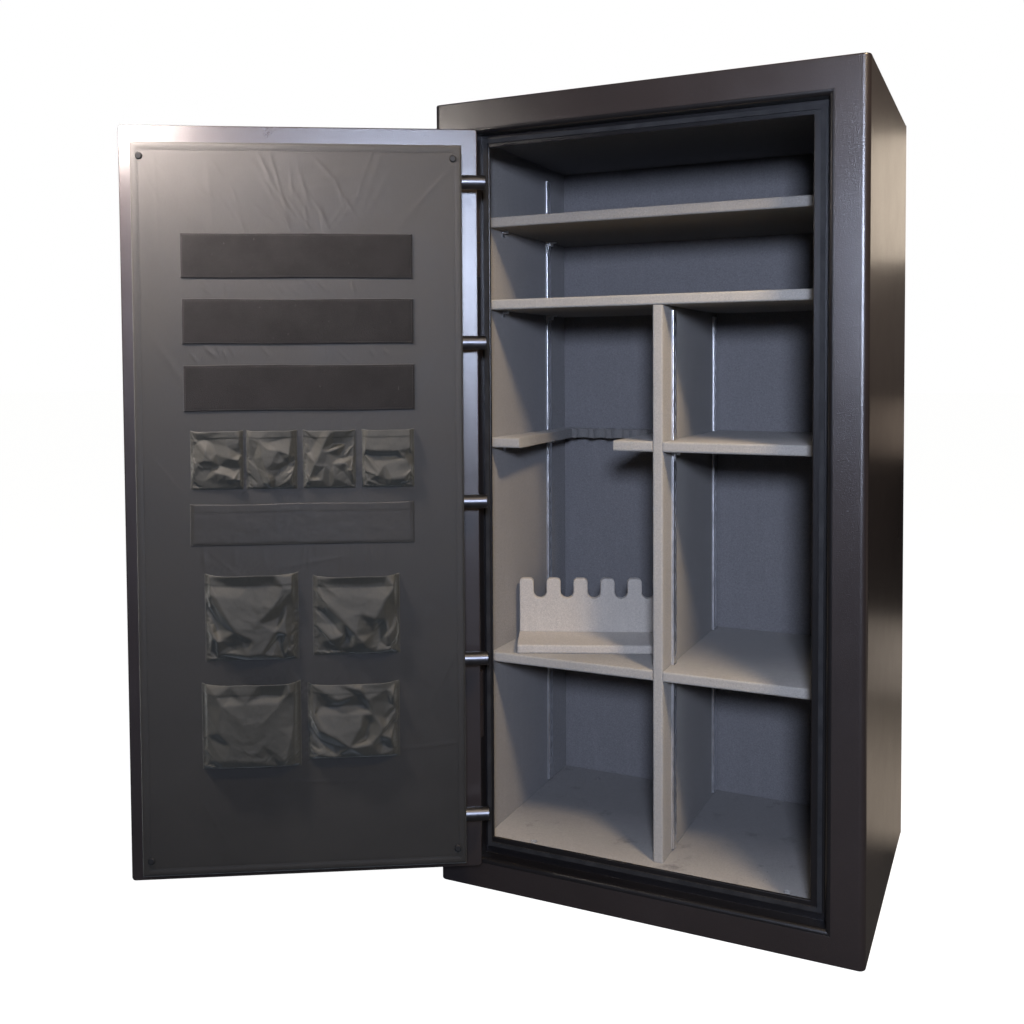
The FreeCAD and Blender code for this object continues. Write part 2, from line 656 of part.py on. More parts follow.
PLATE_INSIDE = ("plate_left + plate_side", "plate_right - plate_side", "skin",
                "plate_thick - flange", "plate_bottom + plate_side", "plate_top - plate_side")
keep_on_door(cut("door_plate", plate,
                 [box("plate_hollow", *PLATE_INSIDE),
                  box("plate_mouth", "box_left + 4", "box_right - 4", "skin", "40",
                      "box_bottom + 4", "box_top - 4")] + door_bores("plate")))
keep_on_door(cut("door_fireboard", box("door_fireboard_block", *PLATE_INSIDE),
                 door_bores("door_fireboard")))

# ---- bolt box: a pan standing on the plate, open behind, with a returned lip ---------------
BOLT_HEIGHTS = [f"bolt_low + {i} * bolt_pitch" for i in range(5)]
BOX_SPAN = ("box_left", "box_right")
BOX_HEIGHT = ("box_bottom", "box_top")
pan = cut("bolt_box_cut",
          box("bolt_box_block", *BOX_SPAN, "plate_thick", "box_rear", *BOX_HEIGHT),
          [box("bolt_box_hollow", "box_left + box_wall", "box_right - box_wall",
               "plate_thick + box_wall", "box_rear - box_wall",
               "box_bottom + box_wall", "box_top - box_wall"),
           box("bolt_box_mouth", "box_left + box_lip", "box_right - box_lip",
               "plate_thick + box_wall", "120", "box_bottom + box_lip", "box_top - box_lip")]
          + door_bores("bolt_box")
          + [rod(f"bolt_box_fixed{i}", "x", "box_left - 5", "bolt_y", z, "bolt_rad", "12")
             for i, z in enumerate(BOLT_HEIGHTS)]
          + [rod(f"bolt_box_live{i}", "x", "box_right - 8", "bolt_y", z, "guide_rad", "12")
             for i, z in enumerate(BOLT_HEIGHTS)])
keep_on_door(soften(
    "bolt_box", pan,
    lambda b: b.YLength > 50 and b.XLength < NEAR and b.ZLength < NEAR
    and any(abs(b.XMax + size.cab_wide / 2 - side) < NEAR
            for side in (size.box_left, size.box_right)), "box_round"))

# ---- bolts: fixed on the hinge side, moving on the opening side --------------------------
fixed, guides, live = [], [], []
for i, z in enumerate(BOLT_HEIGHTS):
    fixed.append(fuse(f"fixed{i}", [
        rod(f"fixed{i}_bar", "x", "fixed_tip + bolt_chamfer", "bolt_y", z, "bolt_rad",
            "fixed_root - fixed_tip - bolt_chamfer"),
        cone(f"fixed{i}_tip", "x", "fixed_tip", "bolt_y", z, "bolt_rad - bolt_chamfer",
             "bolt_rad", "bolt_chamfer")]))
    guide = fuse(f"guide{i}_body", [
        rod(f"guide{i}_tube", "x", "box_right - guide_long", "bolt_y", z, "guide_rad",
            "guide_long"),
        rod(f"guide{i}_flange", "x", "box_right - box_wall - guide_flange", "bolt_y", z,
            "guide_rad + 4", "guide_flange")])
    guides.append(cut(f"guide{i}", guide, [
        rod(f"guide{i}_bore", "x", "box_right - 40", "bolt_y", z, "bolt_rad + guide_play",
            "60")]))
    live.append(fuse(f"live{i}", [
        rod(f"live{i}_bar", "x", "live_root", "bolt_y", z, "bolt_rad",
            "live_tip - live_root - bolt_chamfer"),
        cone(f"live{i}_tip", "x", "live_tip - bolt_chamfer", "bolt_y", z, "bolt_rad",
             "bolt_rad - bolt_chamfer", "bolt_chamfer")]))
keep_on_door(group("fixed_hinge_bolts", fixed))
keep_on_door(group("bolt_guides", guides))
keep_on_door(group("latch_bolts", live))

# carriage: an upright bar with an ear below the lock and two tongues that run in sliders
TONGUE_HEIGHTS = ["bolt_low + bolt_pitch / 2", "bolt_low + 3.5 * bolt_pitch"]
carriage = [
    box("carriage_upright", "live_root - bar_thick", "live_root", "40", "86",
        "bolt_low - bar_over", "bolt_low + 4 * bolt_pitch + bar_over"),
    box("carriage_ear", "ear_left", "live_root - arm_sink", "42", "48",
        "ear_top - ear_high", "ear_top")]
sliders = []
for i, z in enumerate(TONGUE_HEIGHTS):
    carriage.append(box(
        f"carriage_tongue{i}", "live_root - tongue_long", "live_root - arm_sink",
        "tongue_front", "tongue_rear", f"{z} - tongue_half", f"{z} + tongue_half"))
    block = box(f"slider{i}_block", "live_root - 80", "live_root - 50",
                "plate_thick + box_wall", "74", f"{z} - 24", f"{z} + 24")
    slot = box(f"slider{i}_slot", "live_root - 200", "live_root",
               "tongue_front - guide_play", "tongue_rear + guide_play",
               f"{z} - tongue_half - guide_play", f"{z} + tongue_half + guide_play")
    sliders.append(cut(f"slider{i}", block, [slot]))
keep_on_door(fuse("carriage_bar", carriage))
keep_on_door(group("carriage_guides", sliders))

# ---- rack and pinion that throw the bolts -----------------------------------------------
module, teeth = size.gear_module, int(size.gear_teeth)
PRESSURE_ANGLE = math.radians(20)
TOOTH_PLAY = 0.09  # taken off each flank
pitch_rad = module * teeth / 2


def involute(angle):
    return math.tan(angle) - angle


def pinion_points():
    base = pitch_rad * math.cos(PRESSURE_ANGLE)
    tip, root = pitch_rad + module * 0.96, pitch_rad - 1.25 * module
    half = math.pi / (2 * teeth) - TOOTH_PLAY / pitch_rad + involute(PRESSURE_ANGLE)
    flank = [(root, half + 0.012), (base, half)]  # radius, half angle of the tooth
    for i in range(1, 9):
        radius = base + (tip - base) * i / 8
        flank.append((radius, half - involute(math.acos(base / radius))))
    points = []
    for tooth in range(teeth):
        middle = -math.pi / 2 + 2 * math.pi * tooth / teeth
        sides = ([(radius, middle - angle) for radius, angle in flank]
                 + [(radius, middle + angle) for radius, angle in reversed(flank)])
        points += [(radius * math.cos(angle), radius * math.sin(angle))
                   for radius, angle in sides]
    return points


pinion = new_body("drive_pinion")
sketch = new_sketch(pinion, "pinion_profile", "XZ_Plane")
polygon(sketch, pinion_points(), block=False)
bore = sketch.GeometryCount
sketch.addGeometry(Part.Circle(Vector(0, 0, 0), Vector(0, 0, 1), size.shaft_rad), False)
sketch.addConstraint(Sketcher.Constraint("Coincident", bore, 3, -1, 1))
drive(sketch, "bore", Sketcher.Constraint("Radius", bore, size.shaft_rad), "shaft_rad")
pad(pinion, "pinion_pad", sketch, "gear_wide")  # grows forward from its rear face
keep_on_door(place(pinion, "handle_x", "gear_front + gear_wide", "handle_z"))


def rack_points():
    """Outline of the toothed bar as (x, z) in cabinet coordinates."""
    pitch = math.pi * module
    slope = math.tan(PRESSURE_ANGLE)
    line = size.handle_z - pitch_rad
    low, high = line - 1.3 * module, line + 0.88 * module
    under = line - size.gear_rack_deep
    half = pitch / 4 - TOOTH_PLAY
    foot, crest = half + 1.3 * module * slope, half - 0.88 * module * slope
    left, right = size.gear_rack_left, size.live_root - size.bar_thick
    points = [(left, under), (left, low)]
    # the teeth stand half a pitch off the pinion's axis
    x = size.handle_x - int((size.handle_x - left) / pitch) * pitch - pitch / 2
    while x < 505:
        if x - foot > left + 0.5:
            points += [(x - foot, low), (x - crest, high), (x + crest, high), (x + foot, low)]
        x += pitch
    return points + [(right, low), (right, under)]


corners = [Vector(x, 0, z) for x, z in rack_points()]
rack_face = Part.Face(Part.makePolygon(corners + corners[:1]))
rack_wide = size.gear_wide - 2 * size.gear_rack_gap
rack = fixed_shape("drive_rack", rack_face.extrude(Vector(0, rack_wide, 0)))
rack_y = size.gear_front + size.gear_rack_gap - size.cab_deep / 2
rack.Placement = Placement(Vector(-size.cab_wide / 2, rack_y, 0), Rotation())
keep_on_door(rack)

# ---- handle ---------------------------------------------------------------------------
bush = fuse("bush_body", [
    rod("bush_tube", "y", "handle_x", "0", "handle_z", "bush_rad", "plate_thick + box_wall"),
    rod("bush_flange_disc", "y", "handle_x", "-bush_flange", "handle_z", "hub_rad + 4",
        "bush_flange")])
keep_on_door(cut("handle_bushing", bush, [
    rod("bush_bore", "y", "handle_x", "-10", "handle_z", "shaft_rad + shaft_play", "60")]))
keep_on_door(rod("handle_shaft", "y", "handle_x", "-shaft_front", "handle_z", "shaft_rad",
                 "shaft_front + shaft_rear"))

# turned profiles: radius, distance in front of the door's face
HUB = [(size.shaft_rad, 5), (24, 5), (25.5, 7), (size.hub_rad, 12), (size.hub_rad, 34),
       (25.5, 40), (22, 45), (16, 49), (8, 51.5), (0, 52.2), (0, 30), (size.shaft_rad, 30)]
DIAL_RING = [(size.spindle_hole, 0), (46, 0), (46, 5), (44.5, 8.5), (41.5, 10.5), (38.5, 11),
             (38.5, 3), (size.spindle_hole, 3)]
DIAL = [(size.spindle_rad, 3.6), (size.dial_rad, 3.6), (size.dial_rad, 7), (33, 11),
        (23, 13.5), (21.5, 15.5), (20.5, 32), (18, 35.5), (12, 37), (0, 37.5), (0, 14),
        (size.spindle_rad, 14)]


def spoke_points():
    """A straight bar ending in a ball, as (radius, distance along the spoke)."""
    middle, radius = size.spoke_long + 4, size.knob_rad
    first = math.asin(size.spoke_rad / radius)
    points = [(0, 0), (size.spoke_rad, 0)]
    for i in range(15):
        angle = first + (math.pi - first) * i / 15
        points.append((radius * math.sin(angle), middle - radius * math.cos(angle)))
    return points + [(0, middle + radius)]


hub = turned_on_door("hub_body", HUB, "handle_x", "handle_z")
spokes, sockets = [], []
for i in range(3):
    angle = math.radians(90 + 120 * i)
    along = Vector(math.cos(angle), 0, math.sin(angle))
    shaft = Vector(size.handle_x - size.cab_wide / 2, -size.spoke_front - size.cab_deep / 2,
                   size.handle_z)
    root = Placement(shaft + along * size.spoke_root, Rotation(Vector(0, 0, 1), along))
    socket = bind(doc.addObject("Part::Cylinder", f"socket{i}"),
                  Radius="spoke_rad", Height="spoke_long")
    spoke = turned(f"spoke{i}", spoke_points())
    socket.Placement = root
    spoke.Placement = root
    sockets.append(socket)
    spokes.append(spoke)
keep_on_door(cut("handle_hub", hub, sockets))
keep_on_door(group("handle_spokes", spokes))

# ---- combination lock -----------------------------------------------------------------
keep_on_door(turned_on_door("dial_ring", DIAL_RING, "dial_x", "dial_z"))
keep_on_door(turned_on_door("dial", DIAL, "dial_x", "dial_z"))
keep_on_door(rod("dial_spindle", "y", "dial_x", "-spindle_front", "dial_z", "spindle_rad",
                 "spindle_front + spindle_rear"))
wheels = []
# front face, radius and gate's upper end below the axis; the rearmost wheel is smaller
for i, (front, radius, gate_top) in enumerate((
        (43, 19.5, 14.5), (46, 19.5, 14.5), (49, 19.5, 14.5), (52, 17.5, 12.5))):
    wheels.append(cut(
        f"wheel{i}", rod(f"wheel{i}_disc", "y", "dial_x", front, "dial_z", radius, "2"),
        [box(f"wheel{i}_gate", "dial_x - 3", "dial_x + 3", "40", "60", "dial_z - 26",
             f"dial_z - {gate_top}"),
         rod(f"wheel{i}_bore", "y", "dial_x", "40", "dial_z", "spindle_rad", "20")]))
keep_on_door(group("wheel_pack", wheels))


def spindle_bore(name):
    return rod(name, "y", "dial_x", "20", "dial_z", "spindle_hole", "30")


keep_on_door(cut("hardplate", box(
    "hardplate_block", "dial_x - hardplate_half", "dial_x + hardplate_half",
    "plate_thick + box_wall", "lock_front", "dial_z - hardplate_half",
    "dial_z + hardplate_half"), [spindle_bore("hardplate_bore")]))

case_left, case_right = "dial_x - lock_wide / 2", "dial_x + lock_wide / 2"
case_low, case_high = "dial_z - lock_high / 2", "dial_z + lock_high / 2"
keep_on_door(cut(
    "lock_case",
    box("lock_case_block", case_left, case_right, "lock_front", "lock_rear - lock_wall",
        case_low, case_high),
    [box("lock_case_hollow", case_left + " + lock_wall", case_right + " - lock_wall",
         "lock_front + lock_wall", "lock_rear", case_low + " + lock_wall",
         case_high + " - lock_wall"),
     box("lock_case_mouth", "tab_left - tab_play", "tab_left + tab_wide + tab_play",
         "tab_front - tab_play", "tab_front + tab_thick + tab_play", case_low + " - 5",
         case_low + " + 5"),
     spindle_bore("lock_case_bore")]))
keep_on_door(box("lock_cover", case_left, case_right, "lock_rear - lock_wall", "lock_rear",
                 case_low, case_high))
keep_on_door(box("lock_bolt", "tab_left", "tab_left + tab_wide", "tab_front",
                 "tab_front + tab_thick", case_low + " - 2", case_low + " + 19"))

# ---- inner door panel and its organiser -------------------------------------------------
PANEL_REAR = "box_rear + panel_thick"
FABRIC_REAR = "box_rear + panel_thick + fabric"
RIVETS = [(x, z) for x in ("box_left + 15", "box_right - 15")
          for z in ("box_bottom + 28", "box_top - 24")]


def riveted(name, front, rear):
    """A sheet over the whole bolt box, with its rivet holes."""
    holes = [rod(f"{name}_hole{i}", "y", x, "box_rear - 5", z, "2.2", "20")
             for i, (x, z) in enumerate(RIVETS)]
    return cut(name, box(name + "_block", *BOX_SPAN, front, rear, *BOX_HEIGHT), holes)


keep_on_door(riveted("inner_panel", "box_rear", PANEL_REAR))
keep_on_door(riveted("organizer_fabric", PANEL_REAR, FABRIC_REAR))
keep_on_door(group("panel_rivets", [
    fuse(f"rivet{i}", [
        rod(f"rivet{i}_shank", "y", x, "box_rear", z, "2.0", "panel_thick + fabric"),
        cone(f"rivet{i}_head", "y", x, FABRIC_REAR, z, "6.5", "4.5", "2.2")])
    for i, (x, z) in enumerate(RIVETS)]))

# plain blocks for the sewn-on strips and pockets
# name, thickness, and the (left, right, bottom, top) of each block
for name, thick, blocks in (
        ("loop_strips", 3, [(207, 608, 1158, 1236), (206, 607, 1043, 1122),
                            (205, 606, 926, 1007)]),
        ("small_pockets", 14, [(505, 596, 789, 893), (412, 500, 789, 893),
                               (310, 402, 789, 893), (207, 299, 789, 893)]),
        ("document_pocket", 4, [(208, 598, 690, 764)]),
        ("medium_pockets", 24, [(413, 575, 486, 642), (235, 388, 492, 636)]),
        ("large_pockets", 24, [(411, 583, 295, 449), (237, 399, 306, 444)])):
    keep_on_door(group(name, [
        box(f"{name}_block{i}", left, right, FABRIC_REAR, f"{FABRIC_REAR} + {thick}",
            bottom, top)
        for i, (left, right, bottom, top) in enumerate(blocks)]))

# ---- swing the door open, check, export -------------------------------------------------
doc.recompute()
hinge_axis = Vector(size.hinge_x - size.cab_wide / 2, -size.hinge_front - size.cab_deep / 2, 0)
swing = Placement(Vector(0, 0, 0), Rotation(Vector(0, 0, 1), -size.open_angle), hinge_axis)
for obj in door_pieces:
    closed = Placement(obj.Placement)
    for axis in "xyz":
        obj.setExpression("Placement.Base." + axis, None)
    obj.Placement = swing.multiply(closed)
doc.recompute()
for obj in doc.Objects:
    if "Invalid" in obj.State or "Error" in obj.State:
        raise RuntimeError(f"{obj.Name} failed: {obj.State}")
os.makedirs("parts", exist_ok=True)
for obj in pieces:
    if obj.Shape.isNull() or not obj.Shape.isValid() or not obj.Shape.Solids:
        raise RuntimeError(obj.Label + " has no valid shape")
    obj.Shape.exportStep(os.path.join("parts", obj.Label + ".step"))
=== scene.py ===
# A gun safe standing with its door open: carpeted racks and shelves in the cabinet, a cloth
# organiser on the door's inner face and a combination dial on the outer one.
# Metres, +Z up, floor at z = 0. The cabinet's front faces -Y and the door hangs on its left (-X).
import json
import math
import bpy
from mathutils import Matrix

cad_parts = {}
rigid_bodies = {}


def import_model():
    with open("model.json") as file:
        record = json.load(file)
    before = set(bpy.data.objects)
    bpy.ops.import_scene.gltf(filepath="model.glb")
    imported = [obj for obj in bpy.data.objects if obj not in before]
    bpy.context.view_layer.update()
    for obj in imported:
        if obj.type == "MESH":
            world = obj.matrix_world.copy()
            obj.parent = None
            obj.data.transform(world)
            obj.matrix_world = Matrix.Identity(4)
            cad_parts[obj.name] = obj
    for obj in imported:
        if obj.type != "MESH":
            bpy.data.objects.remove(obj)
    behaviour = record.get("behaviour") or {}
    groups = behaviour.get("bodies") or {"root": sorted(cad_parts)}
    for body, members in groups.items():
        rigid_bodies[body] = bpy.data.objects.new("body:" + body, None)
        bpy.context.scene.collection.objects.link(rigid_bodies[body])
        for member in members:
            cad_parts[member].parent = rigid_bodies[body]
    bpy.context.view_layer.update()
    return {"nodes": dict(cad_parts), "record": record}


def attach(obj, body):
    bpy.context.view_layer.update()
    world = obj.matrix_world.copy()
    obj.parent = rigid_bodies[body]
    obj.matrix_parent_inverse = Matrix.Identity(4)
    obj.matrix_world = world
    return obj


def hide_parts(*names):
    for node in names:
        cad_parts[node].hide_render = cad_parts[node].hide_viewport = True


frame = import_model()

from types import SimpleNamespace

import bpy
import bmesh
import numpy as np
from mathutils import Matrix, Vector
from mathutils.geometry import delaunay_2d_cdt

scene = bpy.context.scene
RNG = np.random.default_rng(20417)

# Door pieces are drawn with the door shut, in mm: across = distance from the cabinet's left
# side, depth = distance behind its front face, z = height. At rest the door stands open.
CABINET_LEFT, CABINET_FRONT = 398.0, 297.0  # from the origin to the left side and front face
HINGE_X, HINGE_Y = -0.307, -0.3086          # hinge axis, metres
OPEN_ANGLE = math.radians(-150)
OPEN_COS, OPEN_SIN = math.cos(OPEN_ANGLE), math.sin(OPEN_ANGLE)

# Rectangles on the door: left, right, bottom, top as seen from the front with the door shut, mm
COVER = (119.5, 690.0, 105.0, 1392.0)
SMALL = {"S1": (505, 596, 789, 893), "S2": (412, 500, 789, 893),
         "S3": (310, 402, 789, 893), "S4": (207, 299, 789, 893)}
MEDIUM = {"M1": (413, 575, 486, 642), "M2": (235, 388, 492, 636)}
LARGE = {"L1": (411, 583, 295, 449), "L2": (237, 399, 306, 444)}
STRIPS = [(207, 608, 1158, 1236), (206, 607, 1043, 1122), (205, 606, 926, 1007)]
DOCUMENT = (208, 598, 690, 764)
COVER_BACK, COVER_FACE = 95.05, 96.5  # depths of the cover's two faces, mm


# ---------------------------------------------------------------------------------------
# Shader node helpers
# ---------------------------------------------------------------------------------------
def feed(tree, socket, value):
    """Links a socket, or sets a plain value."""
    if isinstance(value, bpy.types.NodeSocket):
        tree.links.new(value, socket)
    else:
        socket.default_value = value


def add_node(tree, kind, inputs=None, **settings):
    node = tree.nodes.new("ShaderNode" + kind)
    for key, value in settings.items():
        setattr(node, key, value)
    for key, value in (inputs or {}).items():
        feed(tree, node.inputs[key], value)
    return node


def scaled(tone, factor, lift=0.0):
    return [min(1, channel * factor + lift) for channel in tone]


class Tree:
    """A material and short calls for the nodes in it."""

    def __init__(self, name):
        self.mat = bpy.data.materials.new(name)
        self.mat.use_nodes = True
        self.tree = self.mat.node_tree
        self.bsdf = self.first("BSDF_PRINCIPLED")
        self.obj = self.node("TexCoord").outputs["Object"]

    def first(self, kind):
        return next(node for node in self.tree.nodes if node.type == kind)

    def node(self, kind, inputs=None, **settings):
        return add_node(self.tree, kind, inputs, **settings)

    def shade(self, **inputs):
        """Feeds the main shader, underscores standing for spaces, and returns the material."""
        for name, value in inputs.items():
            feed(self.tree, self.bsdf.inputs[name.replace("_", " ")], value)
        return self.mat

    def math(self, operation, first, second=0.0, clamp=False):
        inputs = {0: first, 1: second}
        return self.node("Math", inputs, operation=operation, use_clamp=clamp).outputs[0]

    def times(self, first, second):
        return self.math("MULTIPLY", first, second)

    def total(self, *terms):
        """Sum of sockets; a (socket, weight) pair is scaled first."""
        sockets = [self.times(*term) if isinstance(term, tuple) else term for term in terms]
        result = sockets.pop()
        while sockets:
            result = self.math("ADD", sockets.pop(), result)
        return result

    def centred(self, value, amount):
        """A 0 to 1 value turned into a swing about zero."""
        return self.times(self.math("SUBTRACT", value, 0.5), amount)

    def noise(self, scale, detail=2.0, rough=0.5, vec=None, dist=0.0):
        inputs = {"Vector": self.obj if vec is None else vec, "Scale": scale,
                  "Detail": detail, "Roughness": rough, "Distortion": dist}
        return self.node("TexNoise", inputs).outputs[0]

    def voronoi(self, scale, output="Distance"):
        inputs = {"Vector": self.obj, "Scale": scale}
        return self.node("TexVoronoi", inputs, feature="F1").outputs[output]

    def stretch(self, scale, turn=(0, 0, 0)):
        inputs = {"Vector": self.obj, "Scale": scale, "Rotation": turn}
        return self.node("Mapping", inputs).outputs[0]

    def ramp(self, value, low, high):
        """Black up to low, white from high."""
        node = self.node("ValToRGB", {"Fac": value})
        for element, place, grey in zip(node.color_ramp.elements, (low, high), (0, 1)):
            element.position = place
            element.color = (grey, grey, grey, 1)
        return node.outputs[0]

    def fit(self, value, span, to=(0.0, 1.0), **settings):
        """Maps the span onto another range."""
        inputs = {"Value": value, "From Min": span[0], "From Max": span[1],
                  "To Min": to[0], "To Max": to[1]}
        return self.node("MapRange", inputs, **settings).outputs[0]

    def mix(self, under, over, by, amount=None, how="MIX"):
        if amount is not None:
            by = self.times(by, amount)
        node = self.node("Mix", {0: by}, data_type="RGBA", blend_type=how)
        for index, value in ((6, under), (7, over)):
            plain = not isinstance(value, bpy.types.NodeSocket)
            feed(self.tree, node.inputs[index], (*value, 1) if plain else value)
        return node.outputs[2]

    def bump(self, height, strength, dist, normal=None):
        inputs = {"Height": height, "Strength": strength, "Distance": dist}
        if normal is not None:
            inputs["Normal"] = normal
        return self.node("Bump", inputs).outputs[0]

    def bevel(self, radius):
        return self.node("Bevel", {"Radius": radius}, samples=4).outputs[0]

    def dot(self, first, second):
        inputs = {0: first, 1: second}
        return self.node("VectorMath", inputs, operation="DOT_PRODUCT").outputs["Value"]

    def axis(self, index):
        return self.node("SeparateXYZ", {"Vector": self.obj}).outputs[index]


# ---------------------------------------------------------------------------------------
# Materials
# ---------------------------------------------------------------------------------------
def powder_coat(name, tone, rough, grain=1.0, gloss=1.0):
    """Black powder coat: a fine pebbled skin, slow tone drift and slightly worn, lighter edges."""
    t = Tree(name)
    fine = t.noise(scale=900, detail=2, rough=0.55)
    pebbles = t.voronoi(scale=520)
    drift = t.noise(scale=3.1, detail=3, rough=0.55)
    specks = t.ramp(t.noise(scale=1500, detail=1), low=0.52, high=0.72)
    base = t.mix(scaled(tone, 0.82), scaled(tone, 1.2), by=t.fit(drift, span=(0.3, 0.7)))
    base = t.mix(base, scaled(tone, 2.6, lift=0.006), by=specks, amount=0.35)
    # edges are where the rounded normal leaves the true one
    rounded = t.bevel(radius=0.0015)
    agreement = t.dot(rounded, t.node("NewGeometry").outputs["Normal"])
    wear = t.times(t.fit(agreement, span=(0.995, 0.80)),
                   t.fit(t.noise(scale=60, detail=3, rough=0.6), span=(0.35, 0.75)))
    base = t.mix(base, scaled(tone, 3, lift=0.01), by=wear, amount=0.07)
    patches = t.total(t.noise(scale=14, detail=3, rough=0.6), (fine, 0.35))
    return t.shade(
        Base_Color=base,
        Roughness=t.fit(patches, span=(0.35, 0.95), to=(rough - 0.015, rough + 0.03)),
        Specular_IOR_Level=gloss,
        Normal=t.bump(t.total((fine, 0.6), (pebbles, 0.55)),
                      strength=0.55 * grain, dist=0.00045, normal=rounded),
        Coat_Weight=0.12,
        Coat_Roughness=rough * 0.7)


def carpet(name, tone, low, dirty=False, painted_back_shade=None, reach=0.05):
    """Short needle-punch pile: matted fibres and blotches, with painted shade, a tint multiplied
    in that darkens and cools the carpet towards y = reach at the back, where less light reaches;
    on the floor, a little swept-in dirt."""
    t = Tree(name)
    fibre = t.noise(scale=1300, detail=3, rough=0.65)
    tuft = t.noise(scale=330, detail=3, rough=0.6, dist=0.8)
    blotch = t.noise(scale=9, detail=4, rough=0.6)
    lines = t.noise(scale=60, detail=3, rough=0.55, vec=t.stretch((1, 1, 0.12)))
    base = t.mix(low, tone, by=t.fit(t.total((fibre, 0.6), (tuft, 0.4)), span=(0.36, 0.64)))
    base = t.mix(base, scaled(tone, 0.70), by=t.fit(blotch, span=(0.4, 0.75)), amount=0.30)
    base = t.mix(base, scaled(tone, 1.3), by=t.fit(lines, span=(0.55, 0.8)), amount=0.12)
    # painted shade: the tint is multiplied in from the front towards the back, where less light
    # reaches
    if painted_back_shade:
        back = t.total(t.axis(1), t.centred(t.noise(scale=4, detail=3), amount=0.12))
        base = t.mix(base, t.mix(base, painted_back_shade, by=1.0, how="MULTIPLY"),
                     by=t.fit(back, span=(-0.26, reach), interpolation_type="SMOOTHSTEP"))
    if dirty:
        grit = t.times(t.fit(t.voronoi(scale=120), span=(0.16, 0.05)),
                       t.fit(t.noise(scale=7, detail=3, rough=0.6), span=(0.56, 0.70)))
        dust = t.fit(t.noise(scale=16, detail=5, rough=0.65), span=(0.60, 0.78))
        base = t.mix(base, (0.055, 0.05, 0.048), by=dust, amount=0.75)
        base = t.mix(base, (0.03, 0.025, 0.022), by=grit, amount=0.9)
    return t.shade(
        Base_Color=base, Roughness=0.95, Specular_IOR_Level=0.15,
        Sheen_Weight=0.25, Sheen_Roughness=0.5, Sheen_Tint=(0.9, 0.88, 0.86, 1),
        Normal=t.bump(t.total(fibre, (tuft, 1.4)), strength=0.75, dist=0.0011,
                      normal=t.bevel(radius=0.003)))


def metal(name, tone, rough, lines=(1, 1, 1), tint=None, spangle=0.0, relief=0.18):
    """Plated or machined metal: fine drawing lines along one axis, smudges, softened edges."""
    t = Tree(name)
    smudge = t.noise(scale=45, detail=3, rough=0.6)
    scratch = t.noise(scale=420, detail=3, rough=0.6, vec=t.stretch(lines))
    base = t.mix(scaled(tone, 0.86), tone, by=t.fit(smudge, span=(0.35, 0.7)))
    if spangle:
        cells = t.fit(t.voronoi(scale=160, output="Color"), span=(0.0, 1.0))
        base = t.mix(base, scaled(tone, 1.25), by=cells, amount=spangle)
    if tint:
        stain = t.noise(scale=22, detail=4, rough=0.6)
        base = t.mix(base, tint, by=t.fit(stain, span=(0.55, 0.8), to=(0.0, 0.5)))
    if relief:
        t.shade(Normal=t.bump(scratch, strength=relief, dist=0.00008,
                              normal=t.bevel(radius=0.0006)))
    return t.shade(
        Metallic=1.0, Base_Color=base,
        Roughness=t.fit(t.total((smudge, 0.6), (scratch, 0.4)), span=(0.3, 0.7),
                        to=(max(0.04, rough - 0.08), rough + 0.10)))


def plastic(name, tone, rough):
    t = Tree(name)
    grain = t.noise(scale=700)
    patches = t.noise(scale=18, detail=3, rough=0.6)
    return t.shade(
        Base_Color=t.mix(scaled(tone, 0.85), scaled(tone, 1.12),
                         by=t.fit(patches, span=(0.35, 0.7))),
        Roughness=t.fit(patches, span=(0.3, 0.7), to=(rough - 0.05, rough + 0.08)),
        Normal=t.bump(grain, strength=0.3, dist=0.00015, normal=t.bevel(radius=0.0008)))


def rubber(name):
    t = Tree(name)
    grain = t.noise(scale=900, rough=0.6)
    return t.shade(
        Base_Color=t.mix((0.010, 0.010, 0.011), (0.028, 0.027, 0.027),
                         by=t.fit(t.noise(scale=30, detail=3), span=(0.35, 0.7))),
        Roughness=t.fit(grain, span=(0.3, 0.7), to=(0.62, 0.82)),
        Normal=t.bump(grain, strength=0.4, dist=0.0002))


def gypsum(name):
    t = Tree(name)
    grain = t.noise(scale=380, detail=4, rough=0.65)
    patches = t.noise(scale=5, detail=4, rough=0.6)
    base = t.mix((0.50, 0.46, 0.40), (0.66, 0.62, 0.56), by=t.fit(patches, span=(0.35, 0.7)))
    base = t.mix(base, (0.34, 0.30, 0.26), by=t.fit(grain, span=(0.6, 0.75)), amount=0.35)
    return t.shade(Base_Color=base, Roughness=0.88,
                   Normal=t.bump(grain, strength=0.35, dist=0.0004))


def hardboard(name):
    t = Tree(name)
    grain = t.noise(scale=240, detail=5, rough=0.7, vec=t.stretch((1, 1, 0.3)))
    base = t.mix((0.11, 0.062, 0.030), (0.24, 0.145, 0.075), by=t.fit(grain, span=(0.35, 0.65)))
    return t.shade(Base_Color=base, Roughness=0.7,
                   Normal=t.bump(grain, strength=0.4, dist=0.0003))


